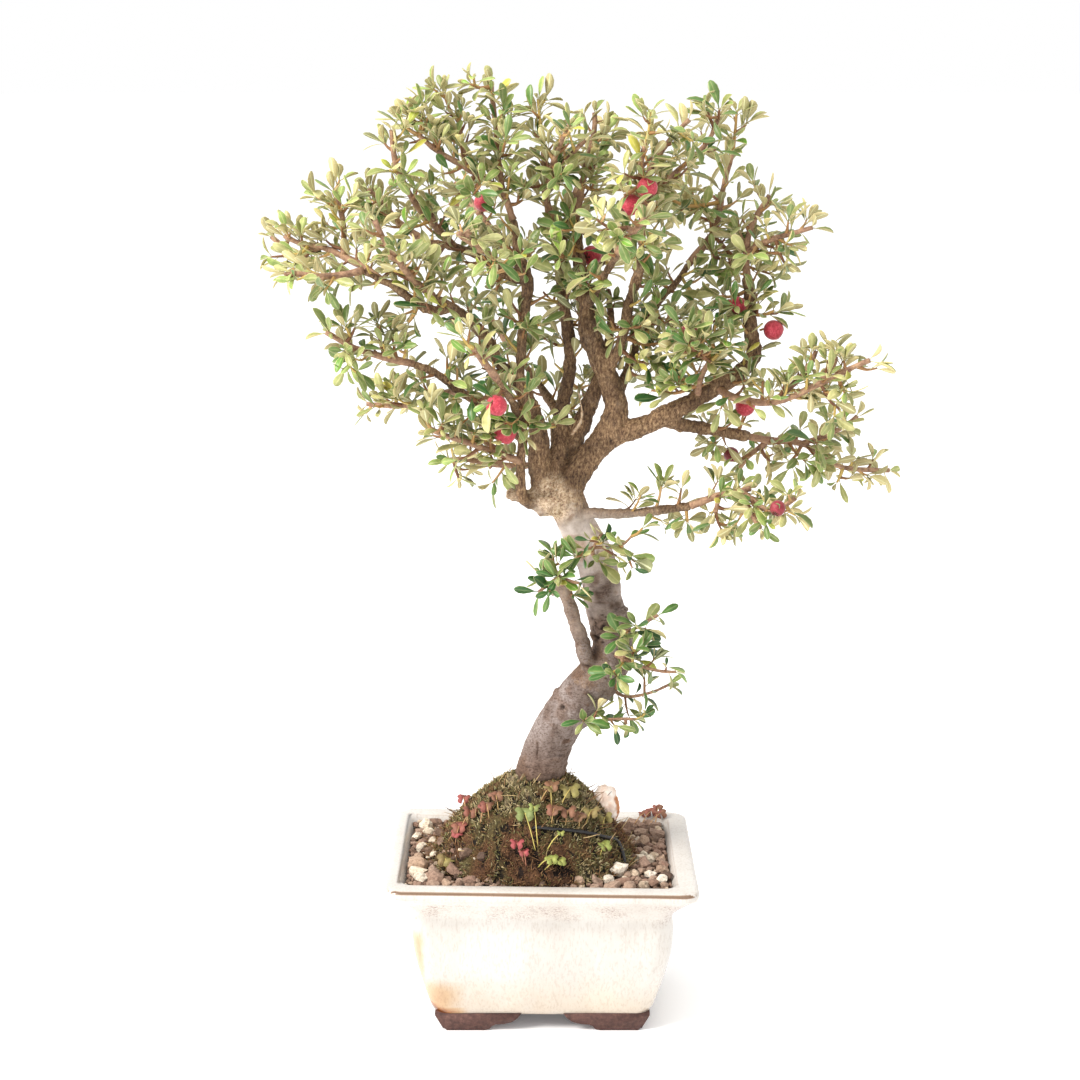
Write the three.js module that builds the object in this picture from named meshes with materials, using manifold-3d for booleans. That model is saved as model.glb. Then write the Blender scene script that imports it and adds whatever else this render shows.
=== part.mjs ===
// Wall cotoneaster grown as a bonsai: a crooked trunk with its limbs, leafy sprays and berries, standing in a
// mossy mound in a cream glazed pot with cloud feet. Millimetres, +Z up, and the long front of the pot faces -Y.
import * as THREE from "three";
import Module from "manifold-3d";
import { mergeVertices } from "three/addons/utils/BufferGeometryUtils.js";

const wasm = await Module();
wasm.setup();

// Driving dimensions. The readings' zero is the middle of the pot, 2.5 mm above the surface it stands on.
const EYE = new THREE.Vector3(0, -890, 420);
const FLOOR = -2.5;
const GAP = 0.35;
const POT_X = 1;
const RIM_TOP = 68;
const RIM_HALF = [65.5, 50];
const RIM_LEAN = 1;
const BASE_HALF = [46, 31.5];
const BASE_BOTTOM = 4.9;
const INNER_FLOOR = 12;
const SOIL_TOP = 65.5;
const HOLE_X = 22;
const HOLE_RADIUS = 7;
const MOUND = { x: 0, y: -2, top: 103, left: 50, right: 41, front: 35.5, back: 32, edge: 1.2, power: 1.1 };
const MESH = { half: 10.2, strand: 1.2, pitch: 6, thick: 1 };
const CLIP_RADIUS = 0.6;
const WIRE_RADIUS = 0.85;
const LEAF = { length: 12, width: 5.2, thick: 0.8, spacing: 14 };

// A place seen from the front: x and z on the upright plane through the middle of the pot, then depth
// millimetres further back along the line of sight.
function seen([x, z, depth = 0]) {
  return new THREE.Vector3(x, 0, z).sub(EYE).multiplyScalar(1 - depth / EYE.y).add(EYE);
}

// The same small row of numbers each time, so that the leaves always grow the same way.
let seed = 7;
function random(low = 0, high = 1) {
  seed = (seed * 16807) % 2147483647;
  return low + ((high - low) * seed) / 2147483647;
}

// A closed skin over equal rings of points, with a flat cap on the first and on the last.
function skin(rings) {
  const sides = rings[0].length;
  const position = rings.flat().flatMap((p) => [p.x, p.y, p.z]);
  const index = [];
  for (let i = 0; i + 1 < rings.length; i++) {
    for (let j = 0; j < sides; j++) {
      const a = i * sides + j;
      const b = i * sides + ((j + 1) % sides);
      index.push(a, b, b + sides, a, b + sides, a + sides);
    }
  }
  const last = (rings.length - 1) * sides;
  for (let j = 1; j + 1 < sides; j++) {
    index.push(0, j + 1, j, last, last + j, last + j + 1);
  }
  const geometry = new THREE.BufferGeometry();
  geometry.setAttribute("position", new THREE.Float32BufferAttribute(position, 3));
  geometry.setIndex(index);
  return geometry;
}

function solid(geometry) {
  const bare = new THREE.BufferGeometry();
  bare.setAttribute("position", geometry.getAttribute("position"));
  bare.setIndex(geometry.getIndex());
  const merged = mergeVertices(bare, 1e-4);
  return new wasm.Manifold(
    new wasm.Mesh({
      numProp: 3,
      vertProperties: new Float32Array(merged.getAttribute("position").array),
      triVerts: new Uint32Array(merged.getIndex().array),
    }),
  );
}

function join(solids) {
  return solids.reduce((whole, next) => whole.add(next));
}

// A round limb through the given points, whose radius follows the given radii. Extra makes it fatter and
// longer by that much, which is the shape of the hole it needs.
function limb(points, radii, sides, steps, extra = 0) {
  const curve = new THREE.CatmullRomCurve3(points, false, "centripetal");
  const frames = curve.computeFrenetFrames(steps);
  const rings = [];
  for (let i = 0; i <= steps; i++) {
    const u = i / steps;
    const place = u * (radii.length - 1);
    const before = Math.min(Math.floor(place), radii.length - 2);
    const radius = THREE.MathUtils.lerp(radii[before], radii[before + 1], place - before) + extra;
    const push = i === 0 ? -extra : i === steps ? extra : 0;
    const centre = curve.getPointAt(u).addScaledVector(frames.tangents[i], push);
    rings.push(ringAround(centre, frames.normals[i], frames.binormals[i], radius, sides));
  }
  return solid(skin(rings));
}

function ringAround(centre, across, up, radius, sides) {
  const ring = [];
  for (let j = 0; j < sides; j++) {
    const angle = (2 * Math.PI * j) / sides;
    ring.push(
      centre
        .clone()
        .addScaledVector(across, radius * Math.cos(angle))
        .addScaledVector(up, radius * Math.sin(angle)),
    );
  }
  return ring;
}

// A lump: a ball of triangles stretched to its half sizes and roughened a little.
function lump(centre, halves, rough = 0, extra = 0, Ball = THREE.IcosahedronGeometry) {
  const ball = mergeVertices(new Ball(1, 1).deleteAttribute("normal").deleteAttribute("uv"));
  const place = ball.getAttribute("position");
  for (let i = 0; i < place.count; i++) {
    const p = new THREE.Vector3().fromBufferAttribute(place, i);
    const bump = 1 + rough * Math.sin(5 * p.x + 3 * p.y) * Math.cos(4 * p.z - 2 * p.x);
    place.setXYZ(
      i,
      centre.x + p.x * (halves[0] * bump + extra),
      centre.y + p.y * (halves[1] * bump + extra),
      centre.z + p.z * (halves[2] * bump + extra),
    );
  }
  return solid(ball);
}

// Pot, with its four feet fired on

function roundedRing([halfX, halfY], radius, z) {
  const ring = [];
  const corners = [[1, -1, -90], [1, 1, 0], [-1, 1, 90], [-1, -1, 180]];
  for (const [sx, sy, start] of corners) {
    for (let step = 0; step <= 2; step++) {
      const angle = THREE.MathUtils.degToRad(start + 45 * step);
      ring.push(
        new THREE.Vector3(
          POT_X + sx * (halfX - radius) + radius * Math.cos(angle),
          sy * (halfY - radius) + radius * Math.sin(angle),
          z,
        ),
      );
    }
  }
  return ring;
}

// The rim sagged a little to the right in the kiln, and the wall under it follows.
function lean(p) {
  const share = THREE.MathUtils.smoothstep(p.z, 30, RIM_TOP);
  p.z -= (RIM_LEAN * share * (p.x - POT_X)) / RIM_HALF[0];
  return p;
}

// Each row: how far the wall stands inside the rim's outer edge, its corner radius and its height.
const POT_OUTSIDE = [
  [19.5, 6, BASE_BOTTOM],
  [18, 7, 7.5],
  [15.6, 8, 15],
  [12.8, 9, 25],
  [10.8, 9, 35],
  [10, 9, 46],
  [10.4, 9, 52],
  [8, 9, 56.5],
  [4.6, 9, 60.5],
  [2, 9, 63.5],
  [0, 9, 64.5],
  [0, 9, 66.6],
  [1.2, 9, RIM_TOP],
];
const POT_INSIDE = [
  [9.6, 6.5, RIM_TOP],
  [10.6, 6, 66.8],
  [12, 6, 60],
  [15, 6, 50],
  [17.5, 6, 35],
  [20.5, 6, 20],
  [23.5, 5, INNER_FLOOR],
];

function insideHalf(inset) {
  return [RIM_HALF[0] - inset, RIM_HALF[1] - inset];
}

// A foot goes round its corner of the base, longer along the front than along the end. Its outline steps up
// in a cloud from the flat underside to the base.
function foot(sx, sy) {
  const drop = BASE_BOTTOM - FLOOR;
  const sink = 1;
  const thick = 8;
  const profile = (reach) => {
    const shape = new THREE.Shape();
    shape.moveTo(0, sink);
    shape.lineTo(0.4, 0);
    shape.lineTo(3.6, -drop);
    shape.lineTo(reach - 15, -drop);
    shape.quadraticCurveTo(reach - 12.4, -drop, reach - 12, -drop + 2.3);
    shape.lineTo(reach - 7, -drop + 2.8);
    shape.quadraticCurveTo(reach - 2, -drop + 3.6, reach, sink);
    return new THREE.ExtrudeGeometry(shape, { depth: thick, bevelEnabled: false, curveSegments: 3 });
  };
  const front = profile(37).rotateX(Math.PI / 2).rotateZ(Math.PI);
  front.translate(BASE_HALF[0], BASE_HALF[1] - thick, 0);
  const side = profile(25).rotateX(Math.PI / 2).rotateZ(-Math.PI / 2);
  side.translate(BASE_HALF[0], BASE_HALF[1], 0);
  return solid(front).add(solid(side)).scale([sx, sy, 1]).translate([POT_X, 0, BASE_BOTTOM]);
}

function drain(side) {
  const past = 2;
  const deep = INNER_FLOOR - BASE_BOTTOM + 2 * past;
  const round = new THREE.CylinderGeometry(HOLE_RADIUS, HOLE_RADIUS, deep, 16).rotateX(Math.PI / 2);
  return solid(round.translate(POT_X + side * HOLE_X, 0, BASE_BOTTOM - past + deep / 2));
}

function pot() {
  const wall = [...POT_OUTSIDE, ...POT_INSIDE].map(([inset, radius, z]) =>
    roundedRing(insideHalf(inset), radius, z).map(lean),
  );
  let body = solid(skin(wall));
  for (const sx of [-1, 1]) {
    for (const sy of [-1, 1]) body = body.add(foot(sx, sy));
    body = body.subtract(drain(sx));
  }
  return body;
}

// Drainage: a square of plastic mesh over each hole, held by a wire clip

function drainageMesh(side) {
  const x = POT_X + side * HOLE_X;
  const z = INNER_FLOOR + 0.3 + MESH.thick / 2;
  const opening = MESH.pitch - MESH.strand;
  let plate = solid(new THREE.BoxGeometry(2 * MESH.half, 2 * MESH.half, MESH.thick).translate(x, 0, z));
  for (const column of [-1, 0, 1]) {
    for (const row of [-1, 0, 1]) {
      const cut = new THREE.BoxGeometry(opening, opening, 2 * MESH.thick);
      plate = plate.subtract(solid(cut.translate(x + column * MESH.pitch, row * MESH.pitch, z)));
    }
  }
  return plate;
}

function clip(side) {
  const x = POT_X + side * HOLE_X;
  const leg = 5.2;
  const under = BASE_BOTTOM - CLIP_RADIUS - 0.3;
  const over = INNER_FLOOR + 0.3 + MESH.thick + CLIP_RADIUS + 0.3;
  const path = [[-11, under], [-6.6, under], [-leg, under + 1.4], [-leg, over - 1.4], [-4, over]];
  const both = [...path, ...path.map(([a, z]) => [-a, z]).reverse()];
  const points = both.map(([a, z]) => new THREE.Vector3(x + a, 0, z));
  return limb(points, [CLIP_RADIUS, CLIP_RADIUS], 6, 14);
}

// Mound: a dome with four different half widths, higher than the rim, on the soil

function moundHeight(x, y) {
  const dx = x - MOUND.x;
  const dy = y - MOUND.y;
  const across = dx / (dx < 0 ? MOUND.left : MOUND.right);
  const along = dy / (dy < 0 ? MOUND.front : MOUND.back);
  const out = Math.min(1, across * across + along * along);
  const edge = SOIL_TOP + GAP + MOUND.edge;
  return edge + (MOUND.top - edge) * Math.pow(1 - out, MOUND.power);
}

// The first place on the soil or the mound that the line of sight through x, z meets.
function onMound([x, z]) {
  for (let depth = -60; depth < 60; depth += 0.5) {
    const p = seen([x, z, depth]);
    if (p.z <= moundHeight(p.x, p.y)) return p;
  }
  return seen([x, z, 0]);
}

function mound() {
  const sides = 20;
  const ringAt = (share, height) => {
    const ring = [];
    for (let j = 0; j < sides; j++) {
      const angle = (2 * Math.PI * j) / sides;
      const dx = Math.cos(angle);
      const dy = Math.sin(angle);
      const x = MOUND.x + share * dx * (dx < 0 ? MOUND.left : MOUND.right);
      const y = MOUND.y + share * dy * (dy < 0 ? MOUND.front : MOUND.back);
      ring.push(new THREE.Vector3(x, y, height ?? moundHeight(x, y)));
    }
    return ring;
  };
  const rings = [ringAt(1, SOIL_TOP + GAP), ...[1, 0.9, 0.75, 0.58, 0.4, 0.2].map((share) => ringAt(share))];
  return solid(skin(rings)).subtract(rootBase(GAP)).subtract(tieWire(GAP)).subtract(stone(GAP));
}

function soil() {
  const shrink = GAP + 0.1;
  const room = 2 * MESH.half + 1;
  const under = POT_INSIDE.filter(([, , z]) => z < SOIL_TOP);
  const rows = under.map(([inset, radius, z]) => [inset + shrink, radius, z]);
  rows[rows.length - 1][2] = INNER_FLOOR + GAP;
  const topInset = 10.8 + shrink;
  const rings = [...rows.reverse(), [topInset, 6, SOIL_TOP]].map(([inset, radius, z]) =>
    roundedRing(insideHalf(inset), radius, z),
  );
  let body = solid(skin(rings));
  for (const side of [-1, 1]) {
    const hollow = new THREE.BoxGeometry(room, room, 8).translate(POT_X + side * HOLE_X, 0, INNER_FLOOR);
    body = body.subtract(solid(hollow));
  }
  return body.subtract(rootBase(GAP)).subtract(tieWire(GAP));
}

function stone(extra = 0) {
  return lump(seen([28.3, 88.5, 2]), [6.4, 6.5, 8.8], 0.08, extra);
}

// Tie wire: from its twist in the moss, over the front of the mound, down through the soil and one drainage
// hole, under the pot's floor, and up again through the other hole.
function tieWire(extra = 0) {
  const overMoss = [[-2, 77.3], [4, 76.8], [12, 76.2], [20, 75], [28, 73], [34, 70.5]].map(onMound);
  const hole = 5.2;
  const under = BASE_BOTTOM - WIRE_RADIUS - 0.6;
  const down = [
    [37, -19, 62],
    [35, -10, 45],
    [26, 2, 24],
    [POT_X + HOLE_X, hole, 15],
    [POT_X + HOLE_X, hole, under + 3],
    [POT_X + HOLE_X - 2.5, hole, under],
    [POT_X + HOLE_X - 9, hole, under],
    [POT_X, hole, under],
    [POT_X - HOLE_X + 9, hole, under],
    [POT_X - HOLE_X + 2.5, hole, under],
    [POT_X - HOLE_X, hole, under + 3],
    [POT_X - HOLE_X, hole, 15],
    [-26, 0, 28],
    [-30, -14, 52],
    [-22, -20, 68],
    [-12, -19, 76],
  ].map(([x, y, z]) => new THREE.Vector3(x, y, z));
  const start = new THREE.Vector3(-6, -17, 78);
  return limb([start, ...overMoss, ...down], [WIRE_RADIUS, WIRE_RADIUS], 6, 40, extra);
}

// Wood. Each row is a place seen from the front and the radius there: x, z, depth, radius.
const TRUNK = [
  [-1, 52, 0, 9],
  [-1.5, 66, 0, 12.5],
  [-1.5, 82, 0, 12.6],
  [-1, 92, 0, 11.6],
  [-0.6, 100, 0, 10.9],
  [1.9, 110, -1, 10.3],
  [5.4, 120, -2, 9.9],
  [11.4, 130, -3, 9.7],
  [19.3, 140, -3, 9.8],
  [25.5, 147, -3, 9.8],
  [30, 155, -2, 9.2],
  [31, 162, -1, 8.8],
  [29.5, 170, 0, 8.7],
  [26.7, 180, 1, 8.2],
  [25.3, 190, 2, 8.2],
  [22.4, 200, 2, 8.3],
  [17, 210, 2, 7.9],
  [12.8, 219, 1, 7.8],
  [10.5, 227, 1, 7.2],
];
const ROOTS = [60, 128, 192, 255, 312];

const LIMBS = {
  main: [[11, 227, 0, 6.4], [16, 236, 1, 5.8], [22, 244, 2, 5.6], [28.5, 252, 3, 5.8], [31.5, 262, 4, 5.2],
    [30, 270, 5, 4.7], [26.5, 279, 6, 4.5], [22.5, 288, 7, 4.3], [20, 294.5, 7, 4.6], [19, 304.5, 8, 3],
    [17, 315.5, 9, 2.6], [15.5, 328, 9, 2.3], [14.5, 340, 8, 2]],
  right: [[27, 250, 3, 5], [36, 253, 2, 4.5], [45.5, 256, 1, 4.2], [52.5, 260, 0, 4], [60.5, 264, -1, 3.8],
    [65.5, 267, -1, 3.6], [73, 271.5, -2, 3.5], [80, 275.5, -2, 3.4], [85, 279.5, -2, 3.3], [88, 284.5, -1, 3.3],
    [87, 292.5, 0, 3.1], [86, 300.5, 2, 2.9], [86, 308.5, 4, 2.6], [84.5, 316.5, 6, 2.2]],
  reach: [[50, 258, 0, 2.6], [57.5, 255.5, 1, 2.7], [65.5, 254.5, 3, 2.6], [78.5, 252, 6, 2.4],
    [86.5, 250.5, 8, 2.2]],
  low: [[16, 217, -1, 2.6], [22, 218, -4, 2.4], [30.5, 217.5, -7, 2.2], [40.5, 218, -10, 2], [48.5, 219, -12, 1.9],
    [55.5, 220, -14, 1.8], [63, 221, -16, 1.7]],
  side: [[26, 147, -4, 4], [20.5, 152.5, -8, 3.4], [17.7, 162, -10, 3.1], [15, 170, -11, 3], [12.3, 178.5, -11, 2.9],
    [10, 184.5, -11, 3], [5.5, 185.8, -11, 3.4]],
  front_stem: [[0, 221, -2, 3], [-7, 224, -6, 2.3], [-8.2, 232, -8, 2], [-8, 240, -8, 1.9], [-7, 253, -8, 1.9],
    [-8, 267, -8, 1.8], [-8, 280, -7, 1.9], [-7, 297, -6, 1.9], [-5, 315, -5, 2.6], [-9, 328, -5, 1.8],
    [-11, 340, -4, 1.5]],
  left: [[3, 226, 2, 4], [1, 240, 1, 3.6], [0, 252, 1, 3.4], [-3, 262, 2, 3.1], [-10, 274, 2, 2.8],
    [-18, 283, -2, 2.6], [-21, 290, -5, 2.4], [-29.5, 299.5, -10, 2.1], [-36, 304.5, -13, 1.9], [-44, 309, -16, 1.6]],
  leader: [[6.5, 227, 4, 3.8], [7.5, 245, 8, 3.4], [8.5, 258, 12, 3.2], [10, 267, 14, 3], [12, 276, 16, 2.8],
    [12, 290, 17, 2.6], [10, 305, 16, 2.4], [8, 318, 14, 2.2], [7, 328, 11, 2], [5, 338, 8, 1.8]],
  middle_left: [[-8, 250, -8, 2.1], [-15, 257, -10, 2], [-22, 261.5, -12, 1.9], [-33, 269.5, -15, 1.8],
    [-43, 277, -18, 1.7], [-52, 281, -20, 1.5]],
  long_left: [[-36, 304.5, -13, 1.8], [-44, 303, -18, 1.8], [-51.5, 306.5, -20, 1.8], [-59.5, 313, -21, 1.7],
    [-65, 315.5, -22, 1.6], [-72, 319.5, -23, 1.5]],
  upper_left: [[-5, 315, -5, 2.2], [-16, 318.5, 0, 2], [-24.5, 325, 5, 1.8], [-35, 329, 9, 1.6],
    [-46.5, 331, 12, 1.4]],
  upper_right: [[27, 277, 6, 2.6], [31.5, 285, 2, 2.3], [34, 292.5, -1, 2.2], [36.5, 306.5, -4, 2],
    [40, 317.5, -7, 1.9], [41.5, 330, -9, 1.6]],
  outer_right: [[31.5, 262, 4, 2.4], [34.5, 273, 8, 2], [38.5, 285.5, 11, 1.8], [43, 297.5, 14, 1.7],
    [48.5, 306.5, 16, 1.6], [56.5, 315.5, 18, 1.5], [60.5, 322, 20, 1.4]],
  front_left: [[-5, 315, -5, 2.2], [-14, 321, -20, 1.7], [-24, 328, -36, 1.3]],
  front_right: [[19, 304.5, 8, 2.2], [25, 315, -10, 1.7], [32, 327, -28, 1.3]],
  front_low: [[-8, 258, -8, 2.2], [-12, 266, -24, 1.7], [-18, 275, -38, 1.3]],
  back_left: [[-5, 315, -5, 2.2], [-13, 328, 20, 1.7], [-24, 342, 38, 1.3]],
  back_right: [[17, 315.5, 9, 2.2], [28, 326, 30, 1.7], [40, 338, 46, 1.3]],
  back_low: [[8.5, 258, 12, 2.2], [0, 272, 30, 1.7], [-12, 288, 46, 1.3]],
  back_top: [[8, 318, 14, 2.2], [10, 336, 26, 1.7], [14, 350, 38, 1.3]],
  stub_left: [[4, 222, 0, 5], [-9, 223.5, -1, 3.6], [-13.5, 226.3, -1, 3.2]],
  stub_wound: [[29, 171, -3, 3], [33, 173.5, -7, 2.4], [36.5, 177, -9, 1.6]],
  stub_low_right: [[13, 123, -3, 2.6], [17, 124.5, -4, 2.2], [20.3, 125.8, -5, 1.5]],
  stub_low_left: [[12, 137, -2, 2.6], [9, 138.5, -3, 2], [5.8, 140.2, -3, 1.4]],
};

function limbFrom(rows, sides, steps, extra = 0) {
  return limb(rows.map(seen), rows.map((row) => row[3]), sides, steps, extra);
}

// The trunk with its roots, which stand in the moss and the soil.
function rootBase(extra = 0) {
  const trunk = limbFrom(TRUNK, 10, 20, extra);
  const roots = ROOTS.map((degrees) => {
    const angle = THREE.MathUtils.degToRad(degrees);
    const out = (far, z) => new THREE.Vector3(-1 + far * Math.cos(angle), far * Math.sin(angle), z);
    return limb([out(4, 86), out(14, 76), out(21, 66), out(25, 55)], [6.5, 4.2, 2.8, 1.4], 6, 4, extra);
  });
  return join([trunk, ...roots]);
}

function wood() {
  const limbs = Object.values(LIMBS).map((rows) => {
    const thick = rows[0][3] > 3.5;
    return limbFrom(rows, thick ? 8 : 5, Math.max(2, Math.round((rows.length - 1) * (thick ? 0.9 : 0.65))));
  });
  const burl = lump(seen([6.5, 223.5, 0]), [9, 8.2, 6.2], 0.1);
  return join([rootBase(), burl, ...limbs]);
}

// Sprays. Each is a list of twigs, and each twig a list of places x, z, depth. The first twig starts in the
// limb that carries the spray, and the others start in the first one.
const SPRAYS = {
  long_left: [[[-72, 319.5, -23], [-79, 318, -25], [-88.5, 317, -27], [-100, 318, -29], [-114, 316.5, -31]],
    [[-88.5, 317, -27], [-91, 310, -32]], [[-100, 318, -29], [-108, 322, -36]]],
  left_tip: [[[-65, 315.5, -22], [-72, 321, -12], [-80, 325, -6], [-89, 329, -2], [-96.5, 330, 0], [-112, 338, 2]],
    [[-89, 329, -2], [-100, 326.5, 8], [-115, 338.5, 12]], [[-80, 325, -6], [-80, 340, 0], [-86, 358, 4]]],
  left_fork: [[[-44, 309, -16], [-52, 316, -26], [-58, 324, -34], [-64, 333, -38], [-70, 347, -40]],
    [[-58, 324, -34], [-68, 327, -44]]],
  upper_left: [[[-46.5, 331, 12], [-57, 338.5, 18], [-64, 343, 24], [-73, 346, 30]],
    [[-57, 338.5, 18], [-66, 349, 14], [-75, 357, 12]]],
  middle_left: [[[-52, 281, -20], [-65, 284, -23], [-76, 287.5, -26], [-88, 294, -29], [-96, 297, -31]],
    [[-65, 284, -23], [-62, 292, -14]], [[-76, 287.5, -26], [-84, 280, -32]]],
  low_left: [[[-33, 269.5, -15], [-41, 268.5, -6], [-53.5, 264, 2], [-69.5, 264, 8], [-79, 266, 12]],
    [[-53.5, 264, 2], [-60, 257, 6]]],
  lowest_left: [[[-8, 240, -8], [-14, 242, -12], [-30, 248, -20], [-43, 252.5, -27], [-51, 257, -31]],
    [[-14, 242, -12], [-27, 252, -10], [-36, 260, -6]]],
  under_left: [[[1, 240, 1], [-8, 238, 12], [-20, 239, 18], [-34, 241, 24], [-45, 239, 28]],
    [[-20, 239, 18], [-26, 233, 16]]],
  red_shoot: [[[-35, 329, 9], [-43, 338, 0], [-50, 346, -6], [-58, 362, -10], [-60, 383, -14]],
    [[-43, 338, 0], [-46, 350, 2]]],
  crown_left: [[[-11, 340, -4], [-15, 350, -4], [-30, 361, -4], [-42, 368, -4], [-55, 380, -4]],
    [[-15, 350, -4], [-17, 368, 4], [-20, 400, 9]], [[-30, 361, -4], [-34, 388, 2]]],
  leader_top: [[[5, 338, 8], [2, 352, 4], [1.5, 368, 2], [0, 384, 0]],
    [[2, 352, 4], [9, 362, -6], [23, 377, -14]], [[2, 352, 4], [8, 370, -16], [16, 386, -22]]],
  crown_right: [[[14.5, 340, 8], [18, 359, 8], [22, 378, 12], [20, 397, 14]], [[18, 359, 8], [30, 371, 12]]],
  upper_right: [[[41.5, 330, -9], [42, 345, -10], [45, 361, -12], [55, 375, -14], [67, 386, -16]],
    [[42, 345, -10], [41, 364, -20], [46, 380, -24]],
    [[42, 345, -10], [54.5, 358.5, 4], [68, 372, 10], [74, 389, 14]]],
  right_top: [[[60.5, 322, 20], [71, 336, 22], [74, 352, 24], [81, 381, 26]],
    [[71, 336, 22], [67, 346, 32], [60, 353, 36]]],
  right_shoulder: [[[84.5, 316.5, 6], [84, 327, 7], [86, 338, 7], [92, 348, 6], [97, 357, 5]],
    [[84, 327, 7], [94, 332, -4], [106, 335.5, -9], [118, 339, -12]],
    [[84, 327, 7], [80, 338, 16], [81, 348, 18]]],
  right_inner: [[[65.5, 267, -1], [66, 275, -10], [70, 282, -17], [73, 287, -21]]],
  right_bud: [[[73, 271.5, -2], [80, 267, -12], [97, 265, -18], [116, 273, -24], [136, 282.5, -29], [145, 284, -30]],
    [[116, 273, -24], [121.5, 282, -22], [122, 293, -20]], [[97, 265, -18], [111, 280, -15], [116, 295, -11]]],
  right_far: [[[86.5, 250.5, 8], [95, 249, 11], [109, 247.5, 14], [124.5, 238, 20], [150, 236, 25]],
    [[109, 247.5, 14], [124, 253.5, 8], [135, 262, 3]], [[95, 249, 11], [85, 240, 15], [80, 229, 18]]],
  low_tip: [[[63, 221, -16], [75, 225.5, -18], [84, 227.5, -19], [97, 230.5, -20]],
    [[84, 227.5, -19], [91, 213.5, -27], [97, 205, -30]], [[84, 227.5, -19], [97, 219, -30], [113, 229, -34]],
    [[75, 225.5, -18], [72, 211, -23]]],
  trunk_upper: [[[22.5, 198, 0], [22.5, 203, -14], [26, 209, -20], [30, 212, -23]],
    [[22.5, 203, -14], [34, 204, -18], [41, 211, -21]], [[22.5, 203, -14], [16, 201, -19]]],
  side_stem: [[[10, 184.5, -11], [8, 190.5, -16], [4.3, 198, -20], [1, 204, -22]],
    [[8, 190.5, -16], [1, 185, -24], [-6, 180, -28]], [[8, 190.5, -16], [14.5, 188, -23], [23, 187, -27]]],
  trunk_middle: [[[30, 157, -2], [35, 154.5, -16], [48, 149.5, -22], [58, 148.5, -25], [65, 150, -26]],
    [[35, 154.5, -16], [41, 161, -24]], [[35, 154.5, -16], [36, 147, -24]]],
  trunk_wound: [[[32, 167, -1], [39, 167, -12], [44, 170, -14], [52, 174.5, -17], [59, 177, -19]]],
  trunk_right: [[[26, 147, -3], [35, 138, -6], [46.5, 139, -8], [61, 146, -10]]],
  trunk_low: [[[11.4, 130, -3], [22, 127, -13], [36.5, 127.5, -16], [50, 126.5, -19]],
    [[36.5, 127.5, -16], [38, 120, -18]]],
  front_left: [[[-24, 328, -36], [-31, 333, -48], [-38, 338, -58]], [[-31, 333, -48], [-24, 340, -56]]],
  front_right: [[[32, 327, -28], [38, 335, -40], [46, 344, -52]], [[38, 335, -40], [30, 340, -50]]],
  front_low: [[[-18, 275, -38], [-24, 283, -48], [-31, 292, -57]], [[-24, 283, -48], [-14, 288, -55]]],
  back_left: [[[-24, 342, 38], [-31, 351, 51], [-38, 360, 62]], [[-31, 351, 51], [-42, 350, 58]]],
  back_right: [[[40, 338, 46], [49, 348, 58], [56, 358, 66]], [[49, 348, 58], [60, 344, 64]]],
  back_low: [[[-12, 288, 46], [-20, 299, 58], [-28, 310, 66]], [[-20, 299, 58], [-30, 297, 64]]],
  back_top: [[[14, 350, 38], [20, 361, 50], [26, 370, 58]], [[20, 361, 50], [10, 366, 58]]],
};

// Berries: x and z of the middle as seen from the front, and the radius.
const BERRIES = [
  [21, 325.5, 4.2],
  [36.5, 346, 4.3],
  [43.5, 353, 4],
  [-23, 347, 3.9],
  [80.5, 305, 3.8],
  [96, 295, 4.1],
  [61, 293.5, 3.9],
  [85, 263.5, 4.2],
  [79.5, 243, 3.2],
  [99.5, 220, 3.2],
  [-18, 263.5, 4.3],
  [-14.5, 252, 4.6],
];

// Wood sorrels in the moss: where the stem comes out and where its leaflets are, as seen, then leaflet size.
const SORRELS = {
  green: [[-2, 68], [-6.5, 83], 0.62],
  pink: [[-7, 62], [-10, 69], 0.45],
  red: [[-35, 76], [-30, 84], 0.4],
  olive: [[9, 88], [13, 94], 0.6],
  lime: [[-1, 60], [7, 62], 0.5],
};

function boxesNear(a, b, gap) {
  const p = a.boundingBox();
  const q = b.boundingBox();
  return [0, 1, 2].every((i) => p.min[i] - gap < q.max[i] && q.min[i] - gap < p.max[i]);
}

function clearOf(piece, others, gap) {
  return others.every((other) => !boxesNear(piece, other, gap) || piece.minGap(other, gap) >= gap);
}

// A twig starts just outside the wood that carries it, so its foot slides out along the twig until it is clear.
function seatedTwigs(twigs, wooden) {
  const [first, ...others] = twigs.map((twig) => twig.map(seen));
  const along = first[1].clone().sub(first[0]);
  const step = 0.25 / along.length();
  const origin = first[0].clone();
  for (let share = 0; share < 0.9; share += step) {
    first[0] = origin.clone().addScaledVector(along, share);
    const probe = limb([first[0], first[0].clone().lerp(first[1], 0.5), first[1]], [0.9, 0.9, 0.9], 4, 2);
    if (clearOf(probe, [wooden], GAP)) break;
  }
  const stem = new THREE.CatmullRomCurve3(first, false, "centripetal");
  const joints = stem.getSpacedPoints(first.length - 1).slice(1);
  for (const twig of others) {
    twig[0] = joints.reduce((best, p) => (p.distanceTo(twig[0]) < best.distanceTo(twig[0]) ? p : best));
  }
  return [first, ...others];
}

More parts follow.
